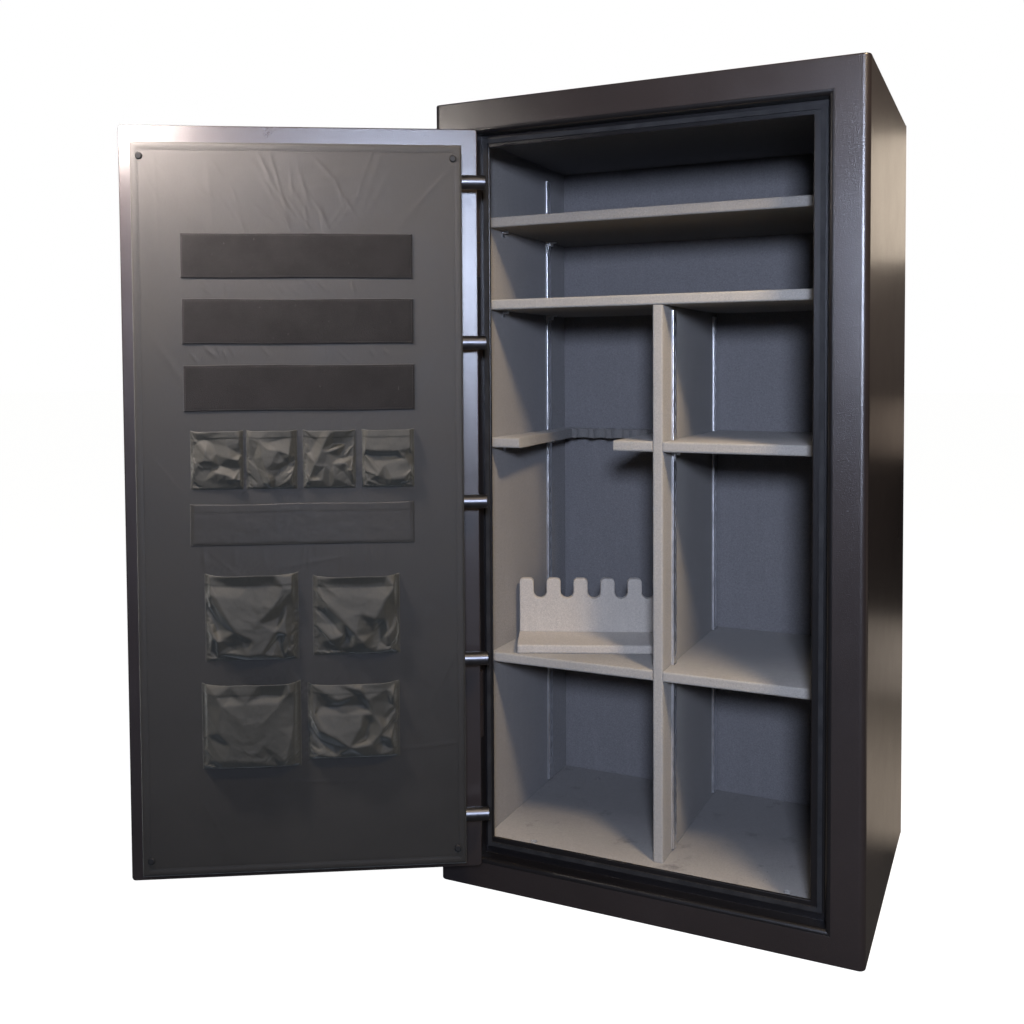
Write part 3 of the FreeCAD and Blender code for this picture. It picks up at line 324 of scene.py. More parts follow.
def woven(name, low, tone, rough=0.52, glossy=0.45):
    """Plain-weave nylon: over-and-under threads along and up the door, slubs, fading and a
    low gloss."""
    thread_pitch = 0.0011
    t = Tree(name)
    along = t.dot(t.obj, (OPEN_COS, OPEN_SIN, 0.0))
    wobble = t.centred(t.noise(scale=40), amount=0.0008)
    warp_phase, weft_phase = [t.times(t.math("ADD", place, wobble), 2 * math.pi / thread_pitch)
                              for place in (along, t.axis(2))]

    def half_wave(phase):
        return t.math("SINE", t.times(phase, 0.5))

    over = t.math("GREATER_THAN", t.times(half_wave(warp_phase), half_wave(weft_phase)), 0.0)
    warp = t.math("ABSOLUTE", half_wave(warp_phase))
    weft = t.math("ABSOLUTE", half_wave(weft_phase))
    height = t.total((over, warp), (t.math("SUBTRACT", 1.0, over), weft))
    slub = t.noise(scale=700, rough=0.6, vec=t.stretch((1, 1, 0.15)))
    fade = t.noise(scale=6.5, detail=4, rough=0.62)
    # the threads' crowns lighter and the hollows between them darker: painted shade; slubs and
    # fading are the cloth's own tone
    light = t.total((height, 0.45), (slub, 0.3), (fade, 0.4))
    return t.shade(
        Base_Color=t.mix(low, tone, by=t.fit(light, span=(0.3, 0.85))),
        Roughness=t.fit(fade, span=(0.3, 0.7), to=(rough - 0.05, rough + 0.07)),
        Specular_IOR_Level=glossy,
        Sheen_Weight=0.35, Sheen_Roughness=0.45, Sheen_Tint=(0.80, 0.84, 0.78, 1),
        Normal=t.bump(t.total(height, (slub, 0.5)), strength=0.5, dist=0.00022))


def loop_pile(name, low, tone):
    """Brushed loop: tangled short loops that trap light, with lint here and there."""
    t = Tree(name)
    loops = t.voronoi(scale=950)
    tangle = t.noise(scale=1500, detail=3, rough=0.7, dist=2)
    patches = t.noise(scale=20, detail=4, rough=0.6)
    lint = t.fit(t.noise(scale=260, vec=t.stretch((1, 1, 0.4))), span=(0.74, 0.80))
    base = t.mix(low, tone, by=t.fit(t.total((tangle, 0.7), (patches, 0.3)), span=(0.35, 0.65)))
    base = t.mix(base, (0.12, 0.12, 0.12), by=lint, amount=0.5)
    return t.shade(
        Base_Color=base, Roughness=0.92, Specular_IOR_Level=0.2,
        Sheen_Weight=0.15, Sheen_Roughness=0.4,
        Normal=t.bump(t.total(loops, tangle), strength=0.9, dist=0.0007))


def thread(name, tone):
    t = Tree(name)
    inputs = {"Vector": t.stretch((1, 1, 1), turn=(0.6, 0.4, 0.5)),
              "Scale": 900.0, "Distortion": 1.0}
    twist = t.node("TexWave", inputs).outputs[0]
    # darker in the grooves of the twist: painted shade
    return t.shade(Base_Color=t.mix(scaled(tone, 0.6), tone, by=twist), Roughness=0.5,
                   Normal=t.bump(twist, strength=0.5, dist=0.0001))


def enamel(name, tone):
    t = Tree(name)
    base = t.mix(scaled(tone, 0.86), tone, by=t.noise(scale=300))
    return t.shade(Base_Color=base, Roughness=0.42)


MATERIALS = {
    "powder_coat": powder_coat("powder_coat_m", tone=(0.0215, 0.0166, 0.0163), rough=0.285),
    "jamb_paint": powder_coat("jamb_paint_m", tone=(0.0062, 0.0056, 0.0064), rough=0.30,
                              grain=0.7, gloss=0.7),
    "carpet": carpet("carpet_m", tone=(0.63, 0.60, 0.54), low=(0.38, 0.36, 0.325),
                     painted_back_shade=(0.36, 0.37, 0.40)),
    # the wall carpet is the shelf carpet made darker, painted shade, with a bluish tint towards
    # the back, painted shade as well
    "carpet_wall": carpet("carpet_wall_m", tone=(0.37, 0.35, 0.325), low=(0.20, 0.19, 0.177),
                          painted_back_shade=(0.68, 0.71, 0.79), reach=0.16),
    "zinc": metal("zinc_m", tone=(0.93, 0.94, 0.96), rough=0.36, lines=(1, 1, 0.03),
                  spangle=0.2, relief=0.0),
    "bolt_steel": metal("bolt_steel_m", tone=(0.15, 0.152, 0.165), rough=0.36),
    "mild_steel": metal("mild_steel_m", tone=(0.42, 0.43, 0.44), rough=0.34, lines=(1, 0.2, 1),
                        tint=(0.16, 0.13, 0.11)),
    "brass": metal("brass_m", tone=(0.72, 0.52, 0.22), rough=0.24, lines=(1, 1, 0.3),
                   tint=(0.34, 0.22, 0.10)),
    "black_rubber": rubber("black_rubber_m"),
    "handle_chrome": metal("handle_chrome_m", tone=(0.80, 0.80, 0.82), rough=0.10),
    "dial_black": plastic("dial_black_m", tone=(0.013, 0.013, 0.014), rough=0.28),
    "nylon_guide": plastic("nylon_guide_m", tone=(0.72, 0.70, 0.62), rough=0.45),
    "panel_board": hardboard("panel_board_m"),
    "gypsum": gypsum("gypsum_m"),
    "rivet_black": plastic("rivet_black_m", tone=(0.010, 0.010, 0.010), rough=0.62),
    "organizer_cloth": woven("organizer_cloth_m", low=(0.0086, 0.0080, 0.0070),
                             tone=(0.0225, 0.0210, 0.0184)),
    "pocket_cloth": woven("pocket_cloth_m", low=(0.0150, 0.0150, 0.0124),
                          tone=(0.0445, 0.0440, 0.0368), rough=0.58, glossy=0.38),
    "loop_cloth": loop_pile("loop_cloth_m", low=(0.0078, 0.0074, 0.0076),
                            tone=(0.022, 0.0212, 0.0215)),
}
CARPET_FLOOR = carpet("carpet_floor_m", tone=(0.62, 0.585, 0.53), low=(0.37, 0.35, 0.32),
                      dirty=True, painted_back_shade=(0.33, 0.34, 0.37))
CARPET_RACK = carpet("carpet_rack_m", tone=(0.66, 0.615, 0.55), low=(0.40, 0.37, 0.335))
# a darker copy of the shelf carpet for the top shelf: painted shade, as the lintel shades it
CARPET_TOP_SHELF_SHADED = carpet("carpet_high_m", tone=(0.47, 0.447, 0.405), low=(0.285, 0.27, 0.245),
                     painted_back_shade=(0.36, 0.37, 0.40))
THREAD = thread("thread_m", tone=(0.013, 0.0135, 0.0125))
WHITE = enamel("numeral_m", tone=(0.78, 0.77, 0.73))

SLOT_OF = {part["node"]: part["material_slot"] for part in frame["record"]["subparts"]}
for name, piece in frame["nodes"].items():
    material = MATERIALS[SLOT_OF[name]]
    if name == "carpet_floor":
        material = CARPET_FLOOR
    elif name.startswith("gun_rack"):
        material = CARPET_RACK
    # the top shelf gets the darker carpet copy: painted shade
    elif name == "shelf_top":
        material = CARPET_TOP_SHELF_SHADED
    if not piece.material_slots:
        piece.data.materials.append(material)
    for slot in piece.material_slots:
        slot.material = material


# ---------------------------------------------------------------------------------------
# Mesh and surface helpers
# ---------------------------------------------------------------------------------------
def at_rest(points):
    """Shut-door points (across, depth, z) in mm, turned to the open position in metres."""
    points = np.asarray(points, float).reshape(-1, 3)
    x = (points[:, 0] - CABINET_LEFT) / 1000 - HINGE_X
    y = (points[:, 1] - CABINET_FRONT) / 1000 - HINGE_Y
    return np.stack([x * OPEN_COS - y * OPEN_SIN + HINGE_X,
                     x * OPEN_SIN + y * OPEN_COS + HINGE_Y, points[:, 2] / 1000], 1)


def add_mesh(name, points, faces, material, slot, body="door", smooth=True, weld=False):
    """A piece of the door from shut-door points in mm."""
    mesh = bpy.data.meshes.new(name)
    mesh.from_pydata([tuple(p) for p in at_rest(points)], [], [tuple(f) for f in faces])
    bm = bmesh.new()
    bm.from_mesh(mesh)
    if weld:
        bmesh.ops.remove_doubles(bm, verts=bm.verts, dist=1e-6)
    bmesh.ops.recalc_face_normals(bm, faces=bm.faces)
    bm.to_mesh(mesh)
    bm.free()
    mesh.materials.append(material)
    if smooth:
        mesh.polygons.foreach_set("use_smooth", [True] * len(mesh.polygons))
    mesh.update()
    piece = bpy.data.objects.new(name, mesh)
    scene.collection.objects.link(piece)
    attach(piece, body)
    return piece


def unit_grid(columns, rows):
    return np.meshgrid(np.linspace(0, 1, columns), np.linspace(0, 1, rows), indexing="ij")


def grid_quads(columns, rows):
    """Vertex numbers of a grid, and the quads between them."""
    index = np.arange(columns * rows).reshape(columns, rows)
    corners = [index[:-1, :-1], index[:-1, 1:], index[1:, 1:], index[1:, :-1]]
    return index, np.stack(corners, -1).reshape(-1, 4)


def shell(face, back):
    """Two (columns, rows, 3) sheets joined round their rims: points and faces."""
    index, quads = grid_quads(*face.shape[:2])
    points = np.concatenate([face.reshape(-1, 3), back.reshape(-1, 3)])
    offset = index.size
    faces = [tuple(q) for q in quads] + [tuple(q[::-1] + offset) for q in quads]
    rim = [*index[:, 0], *index[-1, 1:], *index[-2::-1, -1], *index[0, -2:0:-1]]
    for here, after in zip(rim, rim[1:] + rim[:1]):
        faces.append((here, after, after + offset, here + offset))
    return points, faces


def smooth_grid(values, passes):
    for _ in range(passes):
        p = np.pad(values, 1, mode="edge")
        mean = (p[:-2, 1:-1] + p[2:, 1:-1] + p[1:-1, :-2] + p[1:-1, 2:]) / 4
        values = values * 0.4 + mean * 0.6
    return values


def value_noise(x, y, scale, seed):
    """Smooth value noise in three octaves, 0 to 1."""
    total, amplitude, weight = np.zeros(x.shape), 1.0, 0.0
    for octave in range(3):
        table = np.random.default_rng(seed * 101 + octave).random((256, 256))
        fx, fy = x * scale + 13.7 * octave, y * scale + 5.1 * octave
        ix, iy = np.floor(fx).astype(int), np.floor(fy).astype(int)
        rx, ry = fx - ix, fy - iy
        rx, ry = rx * rx * (3 - 2 * rx), ry * ry * (3 - 2 * ry)
        near = table[ix % 256, iy % 256] * (1 - rx) + table[(ix + 1) % 256, iy % 256] * rx
        far = (table[ix % 256, (iy + 1) % 256] * (1 - rx)
               + table[(ix + 1) % 256, (iy + 1) % 256] * rx)
        total += amplitude * (near * (1 - ry) + far * ry)
        weight += amplitude
        amplitude *= 0.55
        scale *= 2.03
    return total / weight


def smoothstep(x, low, high):
    t = np.clip((x - low) / (high - low), 0, 1)
    return t * t * (3 - 2 * t)


def bell(x, centre, width, power=2):
    return np.exp(-((x - centre) / width) ** power)


# ---------------------------------------------------------------------------------------
# Organiser cover: one sheet over the whole inner panel, hemmed and lightly rumpled
# ---------------------------------------------------------------------------------------
COVER_GRID = (240, 540)
COVER_SEAM = 13.2  # stitch line in from the cover's edge, mm


def draw_creases():
    """Random creases: across, z, angle, length, width and height, in mm and radians."""
    creases = []

    def crease(across, z, angle, length, width, height, scale=1.0):
        creases.append((across, z, angle, RNG.uniform(*length), RNG.uniform(*width),
                        RNG.uniform(*height) * scale))

    for _ in range(30):  # above the top loop strip
        crease(RNG.uniform(300, 600), RNG.uniform(1245, 1350), -RNG.normal(-1.15, 0.18),
               length=(14, 34), width=(1.8, 3.6), height=(0.35, 0.8))
    for _ in range(26):  # in the gaps between loop strips
        crease(RNG.uniform(220, 600), RNG.choice([1140, 1025]) + RNG.uniform(-9, 9),
               RNG.normal(1.15, 0.25), length=(8, 18), width=(2.0, 4.0), height=(0.35, 0.8))
    for _ in range(14):  # just below the document pocket
        crease(RNG.uniform(240, 580), RNG.uniform(655, 680), RNG.normal(1.57, 0.10),
               length=(12, 26), width=(2.5, 5.0), height=(0.3, 0.6))
    for i in range(46):  # long slack folds: the first 26 high up, the rest below
        high = i < 26
        across = RNG.uniform(150, 670)
        z = RNG.uniform(1120, 1380) if high else RNG.uniform(140, 1100)
        crease(across, z, RNG.normal(0.9 if across > 400 else -0.7, 0.35), length=(40, 130),
               width=(2.5, 6.0), height=(0.25, 0.85), scale=0.42 if high else 0.45)
    return creases


def cover_depth(across, z):
    """Depth of the cover's exposed face, before the puckers round what is sewn on."""
    wave = (0.55 * (value_noise(across, z, scale=0.012, seed=3) - 0.5)
            + 0.22 * (value_noise(across, z, scale=0.05, seed=4) - 0.5))
    for mid_across, mid_z, angle, length, width, height in draw_creases():
        cos, sin = math.cos(angle), math.sin(angle)
        along = (across - mid_across) * cos + (z - mid_z) * sin
        beside = -(across - mid_across) * sin + (z - mid_z) * cos
        wave += height * np.exp(-(beside / width) ** 2 - (along / length) ** 2)
    left, right, bottom, top = COVER
    edge = np.minimum(np.minimum(across - left, right - across), np.minimum(z - bottom, top - z))
    hem = (0.55 * bell(edge, centre=6.5, width=5.2, power=4)
           - 0.45 * bell(edge, centre=COVER_SEAM, width=1.3))
    return (COVER_FACE - 0.15 + np.clip(wave * smoothstep(edge, 0, 26), -0.35, 1.3) + hem
            - 0.9 * bell(edge, centre=0, width=1.2))


def sewing_pucker(across, z, rects):
    """Small ripples round each rectangle sewn to the cover."""
    ripple = np.zeros(across.shape)
    for left, right, bottom, top in rects:
        distance = np.hypot(np.maximum(np.maximum(left - across, across - right), 0),
                            np.maximum(np.maximum(bottom - z, z - top), 0))
        phase = (across + z) * 0.55 + 4 * value_noise(across, z, scale=0.03, seed=8)
        ripple += bell(distance, centre=0, width=9.0) * 0.20 * np.sin(phase) * (distance > 0)
    return ripple


def build_cover():
    """Makes the cover and returns its grid of depths."""
    left, right, bottom, top = COVER
    u, v = unit_grid(*COVER_GRID)
    across, z = left + (right - left) * u, bottom + (top - bottom) * v
    sewn_on = [*SMALL.values(), *MEDIUM.values(), *LARGE.values(), *STRIPS]
    depths = cover_depth(across, z) + sewing_pucker(across, z, sewn_on)
    depths = np.maximum(depths, COVER_BACK + 0.5)
    points, faces = shell(np.stack([across, depths, z], -1),
                          np.stack([across, np.full_like(across, COVER_BACK), z], -1))
    cover = add_mesh("organizer_cover", points, faces, MATERIALS["organizer_cloth"],
                     "organizer_cloth")
    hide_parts("organizer_fabric")
    return depths


COVER_DEPTHS = build_cover()


def cover_at(across, z):
    """Depth of the finished cover, interpolated."""
    left, right, bottom, top = COVER
    columns, rows = COVER_GRID
    u = np.clip((across - left) / (right - left) * (columns - 1), 0, columns - 1.001)
    v = np.clip((z - bottom) / (top - bottom) * (rows - 1), 0, rows - 1.001)
    i, j = u.astype(int), v.astype(int)
    fu, fv = u - i, v - j
    low = COVER_DEPTHS[i, j] * (1 - fu) + COVER_DEPTHS[i + 1, j] * fu
    high = COVER_DEPTHS[i, j + 1] * (1 - fu) + COVER_DEPTHS[i + 1, j + 1] * fu
    return low * (1 - fv) + high * fv


# ---------------------------------------------------------------------------------------
# Stitching: short capsules laid along a line
# ---------------------------------------------------------------------------------------
STITCH_POINTS, STITCH_FACES = [], []
# place along the stitch, share of its radius
STITCH_RINGS = ((0.0, 0.35), (0.18, 0.9), (0.5, 1.0), (0.82, 0.9), (1.0, 0.35))
STITCH_SIDES = 6


def stitch_row(path, pitch, length, radius=0.38):
    """Lays one capsule per pitch along an (n, 3) path in shut-door mm."""
    steps = np.linalg.norm(np.diff(path, axis=0), axis=1)
    travel = np.concatenate([[0], np.cumsum(steps)])
    for k in range(int(travel[-1] // pitch)):
        middle = (k + 0.5) * pitch
        start, end = [np.array([np.interp(place, travel, path[:, i]) for i in range(3)])
                      for place in (middle - length / 2, middle + length / 2)]
        axis = end - start
        span = np.linalg.norm(axis)
        if span < 0.5:
            continue
        axis /= span
        up = np.array([0.0, 1.0, 0.0])
        up -= axis * axis.dot(up)
        up /= max(1e-6, np.linalg.norm(up))
        side = np.cross(axis, up)
        base = len(STITCH_POINTS)
        for place, share in STITCH_RINGS:
            centre = start + axis * span * place + up * (0.25 * math.sin(math.pi * place) - 0.1)
            for j in range(STITCH_SIDES):
                angle = math.pi * j / 3
                ring = side * math.cos(angle) * 1.15 + up * math.sin(angle) * 0.8
                STITCH_POINTS.append(centre + ring * radius * share)
        last = base + STITCH_SIDES * (len(STITCH_RINGS) - 1)
        for ring in range(base, last, STITCH_SIDES):
            for j in range(STITCH_SIDES):
                here, after = ring + j, ring + (j + 1) % STITCH_SIDES
                STITCH_FACES.append((here, after, after + STITCH_SIDES, here + STITCH_SIDES))
        STITCH_FACES.append(tuple(base + j for j in reversed(range(STITCH_SIDES))))
        STITCH_FACES.append(tuple(last + j for j in range(STITCH_SIDES)))


def stitch_frame(rect, inset, lift, pitch, length):
    """Stitches a rectangle onto the cover, inset from rect and lifted off the cloth."""
    left, right, bottom, top = rect
    corners = [(left + inset, bottom + inset), (right - inset, bottom + inset),
               (right - inset, top - inset), (left + inset, top - inset)]
    for (a0, z0), (a1, z1) in zip(corners, corners[1:] + corners[:1]):
        count = max(2, int(math.hypot(a1 - a0, z1 - z0) / 3))
        across, z = np.linspace(a0, a1, count), np.linspace(z0, z1, count)
        path = np.stack([across, cover_at(across, z) + lift, z], 1)
        stitch_row(path, pitch=pitch, length=length)


def stitch_pocket(path, lift):
    stitch_row(path + lift, pitch=3.6, length=2.4, radius=0.32)


stitch_frame(COVER, inset=COVER_SEAM, lift=0.1, pitch=4.2, length=2.8)


# ---------------------------------------------------------------------------------------
# Loop strips
# ---------------------------------------------------------------------------------------
STRIP_SEAM = 3.4  # stitch line in from a strip's edge, mm


def crowded(count, share):
    """0 to 1 in count places, closer together at both ends."""
    even = np.linspace(0, 1, count)
    return (1 - np.cos(np.linspace(0, math.pi, count))) / 2 * share + even * (1 - share)


def strip_shell(number, rect):
    left, right, bottom, top = rect
    across, z = np.meshgrid(left + (right - left) * crowded(150, share=0.35),
                            bottom + (top - bottom) * crowded(40, share=0.55), indexing="ij")
    z = (z + 0.54 * np.sin(across * 0.021 + 2.1 * number)
         + 0.5 * (value_noise(across, z * 0, scale=0.05, seed=30 + number) - 0.5))
    edge = np.minimum(np.minimum(across - left, right - across),
                      np.minimum(np.abs(z - z[:, :1]), np.abs(z[:, -1:] - z)))
    under = cover_at(across, z)
    thick = (1.9 * (1 - np.exp(-edge / 0.7)) - 0.55 * bell(edge, centre=STRIP_SEAM, width=0.9)
             + 0.35 * (value_noise(across, z, scale=0.06, seed=20 + number) - 0.5))
    face = np.minimum(np.maximum(smooth_grid(under, 20), under) + 0.35 + thick, COVER_FACE + 3.0)
    return shell(np.stack([across, face, z], -1), np.stack([across, under - 0.25, z], -1))


def build_strips():
    points, faces, offset = [], [], 0
    for number, rect in enumerate(STRIPS):
        strip_points, strip_faces = strip_shell(number, rect)
        points.append(strip_points)
        faces += [tuple(i + offset for i in face) for face in strip_faces]
        offset += len(strip_points)
        stitch_frame(rect, inset=STRIP_SEAM, lift=1.75, pitch=4.0, length=2.6)
    strips = add_mesh("organizer_loop_strips", np.concatenate(points), faces,
                      MATERIALS["loop_cloth"], "loop_cloth")
    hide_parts("loop_strips")


build_strips()


# ---------------------------------------------------------------------------------------
# Pockets: slack nylon sewn down on three sides, open and rumpled along the top
# ---------------------------------------------------------------------------------------
# Control points of each pocket's front: percent of its width from the side nearer the door's
# free edge, percent of its height from the bottom, mm off the cover
BULGES = {
    "S1": [
        (0, 100, 1), (12, 98, 6), (35, 100, 7), (60, 100, 8), (85, 100, 9), (100, 100, 2),
        (0, 60, 1), (100, 60, 2), (0, 0, 0), (50, 0, 1), (100, 0, 0), (10, 45, 8), (30, 68, 12),
        (42, 50, 12), (25, 50, 12), (20, 35, 3), (40, 36, 3), (15, 84, 3), (32, 86, 3),
        (42, 80, 4), (44, 92, 6), (50, 62, 7), (70, 74, 9), (76, 54, 13), (95, 50, 12),
        (97, 82, 9), (75, 38, 3), (95, 36, 4), (56, 42, 3), (50, 30, 9), (66, 27, 12),
        (85, 20, 12), (97, 14, 8), (70, 12, 4), (50, 12, 3), (28, 16, 3), (10, 20, 3),
        (4, 30, 6)],
    "S2": [
        (0, 100, 1), (15, 100, 5), (40, 100, 7), (65, 100, 8), (88, 100, 10), (100, 100, 2),
        (0, 50, 1), (100, 50, 2), (0, 0, 0), (50, 0, 1), (100, 0, 0), (4, 86, 6), (26, 84, 8),
        (46, 80, 6), (66, 84, 6), (90, 88, 9), (40, 70, 11), (62, 66, 12), (86, 60, 13),
        (30, 56, 12), (52, 46, 13), (46, 12, 12), (40, 34, 12), (14, 52, 2), (28, 26, 2),
        (10, 20, 1), (34, 10, 2), (64, 34, 3), (82, 44, 4), (58, 18, 4), (72, 10, 7),
        (86, 18, 10), (93, 34, 7)],
    "S3": [
        (0, 100, 1), (18, 100, 3), (38, 100, 7), (50, 100, 12), (62, 100, 9), (84, 100, 5),
        (100, 100, 2), (0, 50, 1), (100, 50, 2), (0, 0, 0), (50, 0, 1), (100, 0, 0),
        (50, 92, 13), (36, 66, 12), (22, 40, 11), (10, 14, 9), (66, 68, 12), (80, 44, 12),
        (95, 22, 10), (56, 76, 3), (68, 54, 3), (80, 28, 3), (46, 62, 10), (42, 40, 7),
        (56, 42, 9), (62, 18, 8), (36, 16, 7), (20, 72, 2), (82, 76, 2), (94, 54, 3),
        (6, 50, 2), (24, 22, 3), (48, 22, 3)],
    "S4": [
        (0, 100, 2), (12, 100, 9), (40, 100, 10), (70, 100, 10), (92, 100, 9), (100, 100, 2),
        (0, 50, 1), (100, 50, 2), (0, 0, 0), (50, 0, 1), (100, 0, 0), (6, 66, 11), (36, 64, 13),
        (70, 64, 13), (94, 68, 12), (8, 58, 3), (36, 56, 3), (66, 56, 3), (93, 60, 4),
        (20, 42, 5), (8, 30, 7), (30, 22, 12), (14, 14, 7), (44, 40, 9), (62, 48, 8),
        (86, 48, 10), (95, 30, 9), (80, 18, 13), (58, 16, 13), (66, 32, 11), (44, 16, 6),
        (62, 5, 3), (86, 6, 3)],
    "M1": [
        (0, 100, 2), (5, 98, 8), (25, 100, 13), (50, 100, 15), (75, 100, 15), (93, 99, 12),
        (100, 100, 3), (5, 87, 9), (22, 88, 8), (50, 87, 9), (72, 90, 10), (86, 84, 17),
        (97, 80, 15), (3, 78, 12), (12, 76, 17), (22, 58, 20), (34, 36, 21), (46, 8, 17),
        (36, 74, 16), (50, 66, 15), (66, 74, 14), (74, 64, 19), (60, 46, 17), (54, 26, 19),
        (0, 60, 1), (7, 56, 2), (15, 38, 2), (26, 18, 2), (38, 3, 1), (7, 28, 12), (16, 26, 13),
        (26, 11, 9), (4, 15, 5), (15, 10, 4), (62, 10, 17), (72, 8, 14), (76, 34, 17),
        (80, 50, 6), (80.5, 30, 3), (81.5, 12, 3), (86, 50, 15), (88, 30, 17), (90, 12, 13),
        (97, 36, 6), (98, 14, 3), (88, 66, 12), (95, 60, 5), (100, 50, 1), (85, 4, 2),
        (0, 0, 0), (50, 2, 6), (70, 2, 5), (100, 0, 0), (0, 80, 2)],
    "M2": [
        (0, 100, 2), (6, 98, 8), (30, 100, 13), (60, 100, 14), (85, 100, 15), (100, 100, 3),
        (10, 90, 6), (36, 90, 7), (60, 89, 8), (80, 90, 9), (72, 82, 12), (96, 84, 19),
        (90, 76, 19), (3, 82, 6), (30, 78, 11), (60, 74, 14), (84, 70, 20), (20, 64, 16),
        (36, 46, 20), (55, 54, 17), (72, 48, 22), (50, 28, 22), (58, 20, 21), (12, 56, 1),
        (26, 40, 2), (40, 26, 3), (4, 40, 1), (10, 16, 4), (22, 22, 13), (36, 27, 14),
        (46, 12, 11), (30, 10, 3), (16, 5, 1), (54, 6, 8), (70, 30, 7), (76, 36, 3),
        (78, 18, 3), (64, 12, 15), (72, 6, 9), (84, 46, 17), (88, 26, 20), (90, 8, 15),
        (98, 36, 4), (97, 10, 3), (93, 60, 8), (0, 60, 1), (100, 50, 1), (0, 0, 0), (50, 0, 2),
        (100, 0, 0)],
    "L1": [
        (0, 100, 3), (5, 98, 9), (30, 100, 14), (60, 100, 17), (88, 100, 19), (100, 100, 4),
        (4, 86, 10), (15, 88, 18), (30, 86, 12), (60, 87, 12), (80, 86, 12), (90, 89, 21),
        (97, 86, 14), (4, 74, 9), (20, 76, 20), (45, 78, 19), (78, 78, 19), (18, 45, 21),
        (22, 12, 21), (45, 45, 20), (50, 12, 20), (80, 48, 20), (86, 12, 20), (0, 50, 2),
        (100, 50, 3), (95, 50, 15), (96, 20, 14), (92, 36, 20), (62, 30, 20), (30, 30, 20),
        (3, 40, 6), (4, 10, 6), (0, 0, 0), (20, 2, 10), (50, 2, 12), (80, 2, 11), (100, 0, 0)],
    "L2": [
        (0, 100, 2), (10, 98, 8), (34, 100, 12), (60, 98, 14), (84, 100, 13), (100, 100, 3),
        (8, 84, 8), (22, 90, 14), (34, 80, 18), (55, 86, 12), (58, 94, 20), (66, 79, 19),
        (86, 90, 12), (96, 83, 19), (16, 70, 4), (34, 70, 5), (62, 70, 5), (90, 74, 6),
        (5, 58, 10), (26, 60, 12), (60, 60, 14), (14, 42, 17), (30, 34, 21), (46, 20, 22),
        (58, 42, 19), (10, 28, 3), (28, 20, 5), (48, 10, 7), (62, 30, 6), (66, 48, 7),
        (72, 60, 17), (80, 44, 20), (92, 26, 20), (70, 22, 18), (78, 34, 20), (86, 52, 7),
        (82, 22, 6), (94, 10, 8), (12, 8, 12), (30, 6, 13), (62, 6, 12), (80, 8, 12),
        (97, 45, 3), (0, 50, 1), (100, 60, 2), (0, 0, 0), (50, 0, 4), (100, 0, 0)],
}

# rise: furthest reach off the cover, mm; spacing: grid step, mm; passes: smoothing passes;
# slack: furthest the cloth pass may move a point, metres
POCKET_SETS = (
    dict(node="small_pockets", tag="pocket_small", rects=SMALL,
         rise=14.0, spacing=1.6, passes=2, slack=0.0014),
    dict(node="medium_pockets", tag="pocket_medium", rects=MEDIUM,
         rise=24.0, spacing=2.1, passes=3, slack=0.0024),
    dict(node="large_pockets", tag="pocket_large", rects=LARGE,
         rise=24.0, spacing=2.1, passes=3, slack=0.0024),
)
POCKET_SEAM = 0.868    # hem stitch line, share of a pocket's height
DOCUMENT_SEAM = 0.79   # the same on the document pocket
CLOTH = dict(quality=6, mass=0.08, tension_stiffness=12, compression_stiffness=12,
             shear_stiffness=4, bending_stiffness=0.25, tension_damping=6,
             compression_damping=6, vertex_group_mass="sewn", pin_stiffness=1.0,
             shrink_min=-0.07, shrink_max=-0.07)
CLOTH_FRAMES = 14


def bulge_grid(points, columns, rows):
    """Faceted surface through the control points, as a grid of heights."""
    places = [Vector((x / 100, y / 100)) for x, y, _ in points]
    corners, _, triangles, sources, _, _ = delaunay_2d_cdt(places, [], [], 0, 1e-5)
    heights = [points[source[0]][2] if source else 0 for source in sources]
    grid = np.full((columns, rows), np.nan)
    x, y = unit_grid(columns, rows)
    for triangle in triangles:
        (x0, y0), (x1, y1), (x2, y2) = [corners[i] for i in triangle]
        det = (y1 - y2) * (x0 - x2) + (x2 - x1) * (y0 - y2)
        if abs(det) < 1e-12:
            continue
        first = ((y1 - y2) * (x - x2) + (x2 - x1) * (y - y2)) / det
        second = ((y2 - y0) * (x - x2) + (x0 - x2) * (y - y2)) / det
        third = 1 - first - second
        inside = (first >= -1e-6) & (second >= -1e-6) & (third >= -1e-6)
        height = (first * heights[triangle[0]] + second * heights[triangle[1]]
                  + third * heights[triangle[2]])
        grid[inside] = height[inside]
    grid[np.isnan(grid)] = 0
    return grid


def pocket_sheet(group, key, rect, seed):
    """The front of one pocket; u runs towards the hinge and v up, both 0 to 1."""
    left, right, bottom, top = rect
    columns = max(24, int((right - left) / group["spacing"]))
    rows = max(24, int((top - bottom) / group["spacing"]))
    u, v = unit_grid(columns, rows)
    side = np.minimum(u, 1 - u)
    bulge = smooth_grid(bulge_grid(BULGES[key], columns, rows), group["passes"])
    bulge = bulge * smoothstep(side, 0.0, 0.05) * smoothstep(v, 0.0, 0.045)
    across = right - u * (right - left)
    sag = 0.030 * (top - bottom)
    z = bottom + v * (top - bottom)
    z = z - v ** 3 * sag * np.sin(math.pi * u) * (0.7 + 0.5 * np.sin(5 * u + 2))
    under = smooth_grid(cover_at(across, z), 6)
    rim = smoothstep(np.minimum(side, v), 0.0, 0.03)
    ripple = 0.9 * (value_noise(across, z, scale=0.09, seed=seed) - 0.5)
    depth = under + 0.45 + 0.45 * rim + bulge + ripple * smoothstep(bulge, 0, 5)
    return SimpleNamespace(group=group, key=key, across=across, depth=depth, z=z, v=v,
                           under=under)


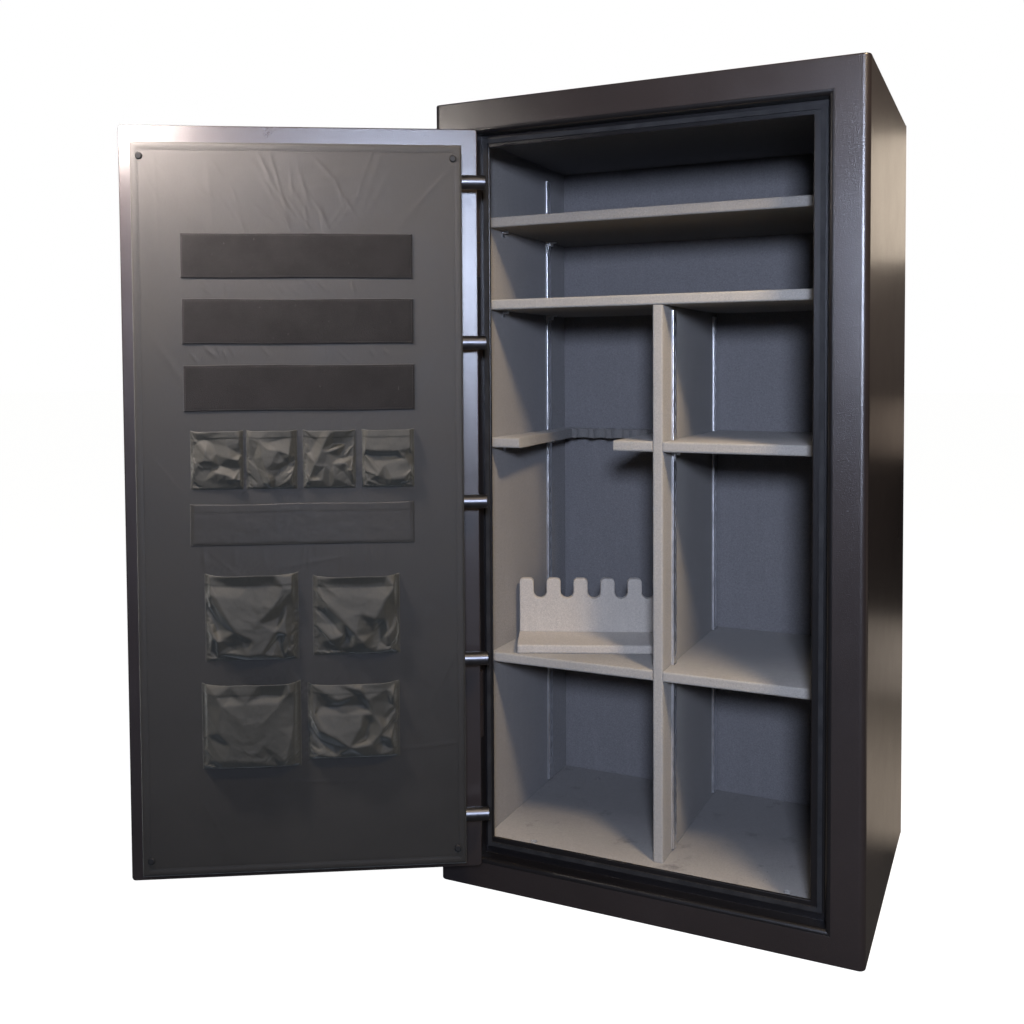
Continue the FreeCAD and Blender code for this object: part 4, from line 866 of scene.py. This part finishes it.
def cloth_shift(sheets):
    """Cloth pass over all pocket fronts at once, extra length buckling into small folds:
    how far each point moves, in metres."""
    points, faces, pins, offset = [], [], [], 0
    for sheet in sheets:
        index, quads = grid_quads(*sheet.v.shape)
        points.append(at_rest(np.stack([sheet.across, sheet.depth, sheet.z], -1)))
        faces += [tuple(quad) for quad in quads + offset]
        edge = np.zeros(index.shape, bool)
        edge[:2, :] = edge[-2:, :] = edge[:, :2] = True
        pins.append(edge.ravel())
        offset += index.size
    start = np.concatenate(points)
    mesh = bpy.data.meshes.new("slack")
    mesh.from_pydata([tuple(point) for point in start], [], faces)
    mesh.update()
    cloth = bpy.data.objects.new("slack", mesh)
    scene.collection.objects.link(cloth)
    sewn = cloth.vertex_groups.new(name="sewn")
    sewn.add([int(i) for i in np.nonzero(np.concatenate(pins))[0]], 1.0, "REPLACE")
    modifier = cloth.modifiers.new("Cloth", "CLOTH")
    for key, value in CLOTH.items():
        setattr(modifier.settings, key, value)
    modifier.settings.effector_weights.gravity = 0.35
    modifier.collision_settings.use_self_collision = False
    modifier.collision_settings.use_collision = False
    for timing in (scene, modifier.point_cache):
        timing.frame_start, timing.frame_end = 1, CLOTH_FRAMES
    for number in range(1, CLOTH_FRAMES + 1):
        scene.frame_set(number)
    settled = cloth.evaluated_get(bpy.context.evaluated_depsgraph_get())
    end = np.zeros(start.size)
    settled.data.vertices.foreach_get("co", end)
    scene.frame_set(1)
    bpy.data.objects.remove(cloth)
    bpy.data.meshes.remove(mesh)
    return end.reshape(-1, 3) - start


def slacken(sheets):
    """Moves the sheets by the cloth pass, no further than their slack."""
    shifts = cloth_shift(sheets)
    offset = 0
    for sheet in sheets:
        shape = sheet.v.shape
        shift = shifts[offset:offset + sheet.v.size]
        offset += sheet.v.size
        size = np.linalg.norm(shift, axis=1, keepdims=True)
        shift = shift * np.minimum(1, sheet.group["slack"] / np.maximum(size, 1e-9))
        # back into shut-door axes
        across = shift[:, 0] * OPEN_COS + shift[:, 1] * OPEN_SIN
        depth = -shift[:, 0] * OPEN_SIN + shift[:, 1] * OPEN_COS
        sheet.across = sheet.across + 1000 * across.reshape(shape)
        sheet.depth = sheet.depth + 1000 * depth.reshape(shape)
        sheet.z = sheet.z + 1000 * shift[:, 2].reshape(shape)


def finish_pocket(sheet):
    """Gives a pocket front its thickness, hem and stitches."""
    group = sheet.group
    depth = np.minimum(np.maximum(sheet.depth, sheet.under + 0.45),
                       COVER_FACE + group["rise"] - 0.6)
    face = np.stack([sheet.across, depth, sheet.z], -1)
    normal = np.cross(np.gradient(face, axis=0), np.gradient(face, axis=1))
    normal /= np.maximum(np.linalg.norm(normal, axis=-1, keepdims=True), 1e-9)
    if normal[..., 1].mean() < 0:
        normal = -normal
    hem = smoothstep(sheet.v, 0.872, 0.885)
    groove = bell(sheet.v, centre=POCKET_SEAM, width=0.012)
    face = face + normal * (0.55 * hem - 0.35 * groove)[..., None]
    lining = face - normal * (0.35 + 0.85 * hem)[..., None]
    lining[..., 1] = np.maximum(lining[..., 1], sheet.under + 0.05)
    face[..., 1] = np.maximum(face[..., 1], lining[..., 1] + 0.25)
    pocket = add_mesh("%s_%s" % (group["tag"], sheet.key), *shell(face, lining),
                      MATERIALS["pocket_cloth"], "pocket_cloth")
    soft = pocket.modifiers.new("soft", "SUBSURF")
    soft.levels = soft.render_levels = 1
    if sheet.key == next(iter(group["rects"])):
        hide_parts(group["node"])
    seam = int(POCKET_SEAM * (face.shape[1] - 1))
    stitch_pocket(face[2:-2, seam], lift=normal[2:-2, seam] * 0.15)
    for path in (face[1, 2:-1], face[-2, 2:-1], face[2:-2, 1]):
        stitch_pocket(path, lift=np.array([0, 0.35, 0]))


def build_document_pocket():
    """The flat, wide pocket."""
    left, right, bottom, top = DOCUMENT
    rows = 48
    u, v = unit_grid(170, rows)
    across = right - u * (right - left)
    droop = 2.6 * v ** 2 * np.sin(math.pi * u) ** 0.5 * (0.6 + 0.4 * np.sin(9 * u))
    z = bottom + v * (top - bottom) - droop
    under = smooth_grid(cover_at(across, z), 6)
    sewn = smoothstep(np.minimum(u, 1 - u), 0, 0.02) * smoothstep(v, 0, 0.08)
    bulge = 0.5 + sewn * (0.7 + 1.5 * v * (0.75 + 0.25 * np.sin(7 * u + 1))
                          + 0.9 * (value_noise(across, z, scale=0.03, seed=77) - 0.4)
                          + 0.5 * (value_noise(across, z, scale=0.1, seed=78) - 0.5))
    hem = smoothstep(v, 0.80, 0.83)
    groove = bell(v, centre=DOCUMENT_SEAM, width=0.03)
    depth = np.minimum(under + np.maximum(bulge, 0.45) + 0.15 * hem - 0.12 * groove,
                       COVER_FACE + 3.9)
    lining = np.stack([across, np.maximum(depth - 0.5 - 0.4 * hem, under + 0.05), z], -1)
    face = np.stack([across, np.maximum(depth, lining[..., 1] + 0.2), z], -1)
    pocket = add_mesh("pocket_document", *shell(face, lining), MATERIALS["organizer_cloth"],
                      "pocket_cloth")
    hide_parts("document_pocket")
    stitch_pocket(face[2:-2, int(DOCUMENT_SEAM * (rows - 1))], lift=np.array([0, 0.2, 0]))
    for path in (face[1, 1:-1], face[-2, 1:-1], face[1:-1, 1]):
        stitch_pocket(path, lift=np.array([0, 0.3, 0]))


pocket_sheets = []
for pocket_set in POCKET_SETS:
    for key, rect in pocket_set["rects"].items():
        pocket_sheets.append(pocket_sheet(pocket_set, key, rect, seed=len(pocket_sheets) + 40))
slacken(pocket_sheets)
for sheet in pocket_sheets:
    finish_pocket(sheet)
build_document_pocket()
add_mesh("organizer_stitching", STITCH_POINTS, STITCH_FACES, THREAD, "organizer_cloth")


# ---------------------------------------------------------------------------------------
# Dial: raised numerals and graduation marks that turn with the dial
# ---------------------------------------------------------------------------------------
DIAL_ACROSS, DIAL_Z = 440.0, 900.0
DIAL_RADII = [21.5, 23.0, 33.0, 37.5]   # the dial's profile: radius, mm ...
DIAL_RISES = [15.5, 13.5, 11.0, 7.0]    # ... and how far it stands in front of the door
MARK_OUTER = 37.2
NUMERAL_RADIUS = 29.6


def dial_rise(radius):
    return np.interp(radius, DIAL_RADII, DIAL_RISES)


def clock_angle(number, count):
    """Clockwise from the top, seen from in front of the dial."""
    return math.pi / 2 - 2 * math.pi * number / count


def build_dial_marks():
    points, faces = [], []
    for k in range(100):
        inner = 34.0 if k % 10 == 0 else 35.2 if k % 5 else 34.6
        width = 0.55 if k % 10 == 0 else 0.3
        cos, sin = math.cos(clock_angle(k, 100)), math.sin(clock_angle(k, 100))
        base = len(points)
        for radius in (inner, MARK_OUTER):
            for side in (-width / 2, width / 2):
                for lift in (-0.3, 0.22):
                    points.append((DIAL_ACROSS + radius * cos - side * sin,
                                   -(dial_rise(radius) + lift),
                                   DIAL_Z + radius * sin + side * cos))
        for quad in ((0, 1, 3, 2), (4, 6, 7, 5), (0, 4, 5, 1), (2, 3, 7, 6), (0, 2, 6, 4),
                     (1, 5, 7, 3)):
            faces.append(tuple(base + i for i in quad))
    add_mesh("dial_marks", points, faces, WHITE, "dial_black", body="dial_train", smooth=False)


def build_dial_numeral(k):
    name = "dial_numeral_%02d" % (k * 10)
    curve = bpy.data.curves.new(name, "FONT")
    curve.body = str(k * 10)
    curve.size = 0.0068
    curve.extrude = 0.00025
    curve.align_x = "CENTER"
    curve.align_y = "CENTER"
    text = bpy.data.objects.new("numeral_tmp", curve)
    scene.collection.objects.link(text)
    bpy.context.view_layer.update()
    evaluated = text.evaluated_get(bpy.context.evaluated_depsgraph_get())
    mesh = bpy.data.meshes.new_from_object(evaluated)
    flat = np.zeros(len(mesh.vertices) * 3)
    mesh.vertices.foreach_get("co", flat)
    x, y, z = (flat.reshape(-1, 3) * 1000).T
    cos, sin = math.cos(clock_angle(k, 10)), math.sin(clock_angle(k, 10))
    out_across = cos * (NUMERAL_RADIUS + y) + sin * x
    out_z = sin * (NUMERAL_RADIUS + y) - cos * x
    depth = -(dial_rise(np.hypot(out_across, out_z)) + z + 0.1)
    points = np.stack([DIAL_ACROSS + out_across, depth, DIAL_Z + out_z], 1)
    add_mesh(name, points, [tuple(face.vertices) for face in mesh.polygons], WHITE,
             "dial_black", body="dial_train", smooth=False, weld=True)
    bpy.data.objects.remove(text)
    bpy.data.meshes.remove(mesh)
    bpy.data.curves.remove(curve)


build_dial_marks()
for k in range(10):
    build_dial_numeral(k)


# ---------------------------------------------------------------------------------------
# Floor and world
# ---------------------------------------------------------------------------------------
def floor_material():
    """Near white to the camera; to other rays dull, with a warm glow behind the cabinet."""
    t = Tree("floor_m")
    patches = t.fit(t.noise(scale=2, detail=3), span=(0.3, 0.7))
    t.shade(Base_Color=t.mix((0.30, 0.30, 0.30), (0.33, 0.33, 0.325), by=patches),
            Roughness=0.8, Specular_IOR_Level=0.0)
    white = t.node("Emission", {"Color": (1.0, 1.0, 0.995, 1), "Strength": 0.985})
    behind = t.math("MULTIPLY", t.fit(t.axis(1), span=(0.18, 0.30)),
                    t.times(t.fit(t.axis(1), span=(1.5, 0.6)),
                            t.fit(t.axis(0), span=(0.25, 0.42))), clamp=True)
    glow = t.node("Emission", {"Color": (1.0, 0.82, 0.65, 1), "Strength": t.times(behind, 0.42)})
    dull = t.node("BsdfDiffuse", {"Color": (0.10, 0.10, 0.10, 1)})
    unseen = t.node("AddShader", {0: dull.outputs[0], 1: glow.outputs[0]})
    seen = t.node("AddShader", {0: t.bsdf.outputs[0], 1: white.outputs[0]})
    pick = t.node("MixShader", {0: t.node("LightPath").outputs["Is Camera Ray"],
                                1: unseen.outputs[0], 2: seen.outputs[0]})
    feed(t.tree, t.first("OUTPUT_MATERIAL").inputs[0], pick.outputs[0])
    return t.mat


def build_floor(half=40):
    material = floor_material()
    mesh = bpy.data.meshes.new("floor")
    corners = [(-half, -half, 0), (half, -half, 0), (half, half, 0), (-half, half, 0)]
    mesh.from_pydata(corners, [], [(0, 1, 2, 3)])
    mesh.materials.append(material)
    floor = bpy.data.objects.new("floor", mesh)
    scene.collection.objects.link(floor)
    floor.location.z = -0.0005


# Soft glows in the world: direction, tightness, colour
WORLD_GLOWS = (
    ((-0.95, -0.25, 0.15), 3.0, (0.02, 0.022, 0.028)),    # left
    ((0.12, 0.985, 0.10), 8.0, (0.090, 0.070, 0.058)),    # behind the cabinet
    ((0.0, -0.2, 1.0), 3.0, (0.03, 0.03, 0.032)),         # overhead
)


def build_world():
    """White to the camera, dim with soft glows to other rays."""
    world = bpy.data.worlds.new("studio")
    scene.world = world
    world.use_nodes = True
    tree = world.node_tree
    tree.nodes.clear()
    incoming = add_node(tree, "NewGeometry").outputs["Incoming"]
    dim = add_node(tree, "RGB")
    dim.outputs[0].default_value = (0.016, 0.0145, 0.0145, 1)
    light = dim.outputs[0]
    for direction, tightness, colour in WORLD_GLOWS:
        inputs = {0: incoming, 1: tuple(-Vector(direction).normalized())}
        facing = add_node(tree, "VectorMath", inputs, operation="DOT_PRODUCT").outputs["Value"]
        facing = add_node(tree, "Math", {0: facing, 1: 0.0}, operation="MAXIMUM").outputs[0]
        lobe = add_node(tree, "Math", {0: facing, 1: tightness}, operation="POWER").outputs[0]
        glow = add_node(tree, "VectorMath", {0: colour, 3: lobe}, operation="SCALE").outputs[0]
        light = add_node(tree, "VectorMath", {0: light, 1: glow}, operation="ADD").outputs[0]
    unseen = add_node(tree, "Background", {"Color": light, "Strength": 1.0})
    seen = add_node(tree, "Background", {"Color": (1, 1, 1, 1), "Strength": 1.0})
    camera_ray = add_node(tree, "LightPath").outputs["Is Camera Ray"]
    pick = add_node(tree, "MixShader", {0: camera_ray, 1: unseen.outputs[0], 2: seen.outputs[0]})
    add_node(tree, "OutputWorld", {0: pick.outputs[0]})


build_floor()
build_world()


# ---------------------------------------------------------------------------------------
# Lights
# ---------------------------------------------------------------------------------------
def area(name, at, aim, size, power, colour, size_y=None, only=None):
    """A disk light, or a rectangle given size_y; only is the set of objects it lights."""
    light = bpy.data.lights.new(name, "AREA")
    light.energy = power
    light.color = colour
    light.shape = "RECTANGLE" if size_y else "DISK"
    light.size = size
    if size_y:
        light.size_y = size_y
    lamp = bpy.data.objects.new(name, light)
    scene.collection.objects.link(lamp)
    lamp.location = at
    lamp.rotation_euler = (Vector(aim) - Vector(at)).to_track_quat("-Z", "Y").to_euler()
    lamp.visible_camera = False
    if only:
        lamp.light_linking.receiver_collection = only


def mesh_set(name, prefixes, names, slots=()):
    """A collection of the meshes with these name prefixes, names or material slots."""
    collection = bpy.data.collections.new(name)
    for piece in scene.objects:
        if piece.type == "MESH" and (piece.name.startswith(prefixes) or piece.name in names
                                     or SLOT_OF.get(piece.name) in slots):
            collection.objects.link(piece)
    return collection


def by_free_corner(off_door=0.0, to_hinge=0.0, up=0.0):
    """A place measured from the open door's upper free corner, metres."""
    corner = Vector(at_rest([(728, 92, 1436)])[0])
    outward = Vector((-OPEN_SIN, OPEN_COS, 0.0))
    hingeward = Vector((-OPEN_COS, -OPEN_SIN, 0.0))
    return corner + outward * off_door + hingeward * to_hinge + Vector((0, 0, up))


area("key", at=(0.911, -2.747, 1.431), aim=(0.05, 0.0, 0.75), size=0.34, power=64.0,
     colour=(0.68, 0.765, 1.0))
# a lamp beyond the door's free corner, mostly for the organiser, with a little spill
DOOR_LAMP = dict(at=by_free_corner(off_door=0.25, to_hinge=-0.135, up=0.16),
                 aim=by_free_corner(to_hinge=0.25, up=-0.25), size=0.12)
door_set = mesh_set("door_lamp_set", prefixes=("organizer_", "pocket_"),
                    names=("door_plate", "inner_panel"),
                    slots=("organizer_cloth", "pocket_cloth", "loop_cloth"))
area("door_lamp", power=19.0, colour=(1.0, 0.87, 0.81), only=door_set, **DOOR_LAMP)
area("door_spill", power=1.15, colour=(1.0, 0.92, 0.84), **DOOR_LAMP)
area("overhead", at=(0.95, -0.95, 2.20), aim=(0.10, -0.30, 0.30), size=0.30, power=26.0,
     colour=(1.0, 0.76, 0.48))
area("door_glare", at=by_free_corner(off_door=0.10, to_hinge=-0.03, up=0.03),
     aim=by_free_corner(to_hinge=0.04, up=-0.06), size=0.07, power=0.8,
     colour=(1.0, 0.86, 0.82))
# soft fill for the cabinet's back and the open door's outside, which face away from the key
rear_set = mesh_set("rear_fill_set", prefixes=("dial", "handle_", "hinge_"),
                    names=("body_shell", "back_plate", "door_plate"))
area("rear_left", at=(-2.10, 1.35, 1.30), aim=(-0.45, -0.20, 0.75), size=1.1, power=30.0,
     colour=(1.0, 0.97, 0.94), only=rear_set)
area("rear_mid", at=(-0.35, 2.60, 1.40), aim=(0.0, 0.30, 0.75), size=1.1, power=45.0,
     colour=(1.0, 0.97, 0.94), only=rear_set)
# what the right side sees behind the cabinet
area("side_high", at=(0.74, 1.5, 1.53), aim=(0.45, 0.0, 1.20), size=0.80, size_y=0.40,
     power=1.35, colour=(1.0, 0.84, 0.67))
area("side_mid", at=(0.60, 1.9, 0.78), aim=(0.40, 0.0, 0.70), size=0.22, power=0.07,
     colour=(1.0, 0.78, 0.62))
area("side_low", at=(0.62, 1.3, 0.12), aim=(0.40, 0.0, 0.30), size=0.25, power=0.10,
     colour=(1.0, 0.84, 0.70))


# ---------------------------------------------------------------------------------------
# Camera and view
# ---------------------------------------------------------------------------------------
def build_camera(place, yaw, pitch, roll):
    """Looks along +Y, turned left by yaw, down by pitch and rolled, in degrees."""
    lens = bpy.data.cameras.new("camera")
    lens.sensor_width = 36.0
    lens.sensor_fit = "HORIZONTAL"
    lens.lens = 37.916015625
    lens.shift_y = -0.10107421875
    lens.clip_start, lens.clip_end = 0.05, 120.0
    camera = bpy.data.objects.new("camera", lens)
    scene.collection.objects.link(camera)
    yaw, pitch, roll = math.radians(yaw), math.radians(pitch), math.radians(roll)
    forward = Vector((-math.sin(yaw) * math.cos(pitch), math.cos(yaw) * math.cos(pitch),
                      -math.sin(pitch)))
    level = Vector((math.cos(yaw), math.sin(yaw), 0))
    upright = level.cross(forward)
    right = level * math.cos(roll) + upright * math.sin(roll)
    up = -level * math.sin(roll) + upright * math.cos(roll)
    matrix = Matrix((right, up, -forward)).transposed().to_4x4()
    matrix.translation = Vector(place)
    camera.matrix_world = matrix
    scene.camera = camera


build_camera(place=(0.61749, -2.11463, 0.99926), yaw=25.2, pitch=2.16, roll=-0.33)

scene.view_settings.view_transform = "Standard"
scene.view_settings.look = "None"
scene.view_settings.exposure = 0.0
scene.view_settings.gamma = 1.0
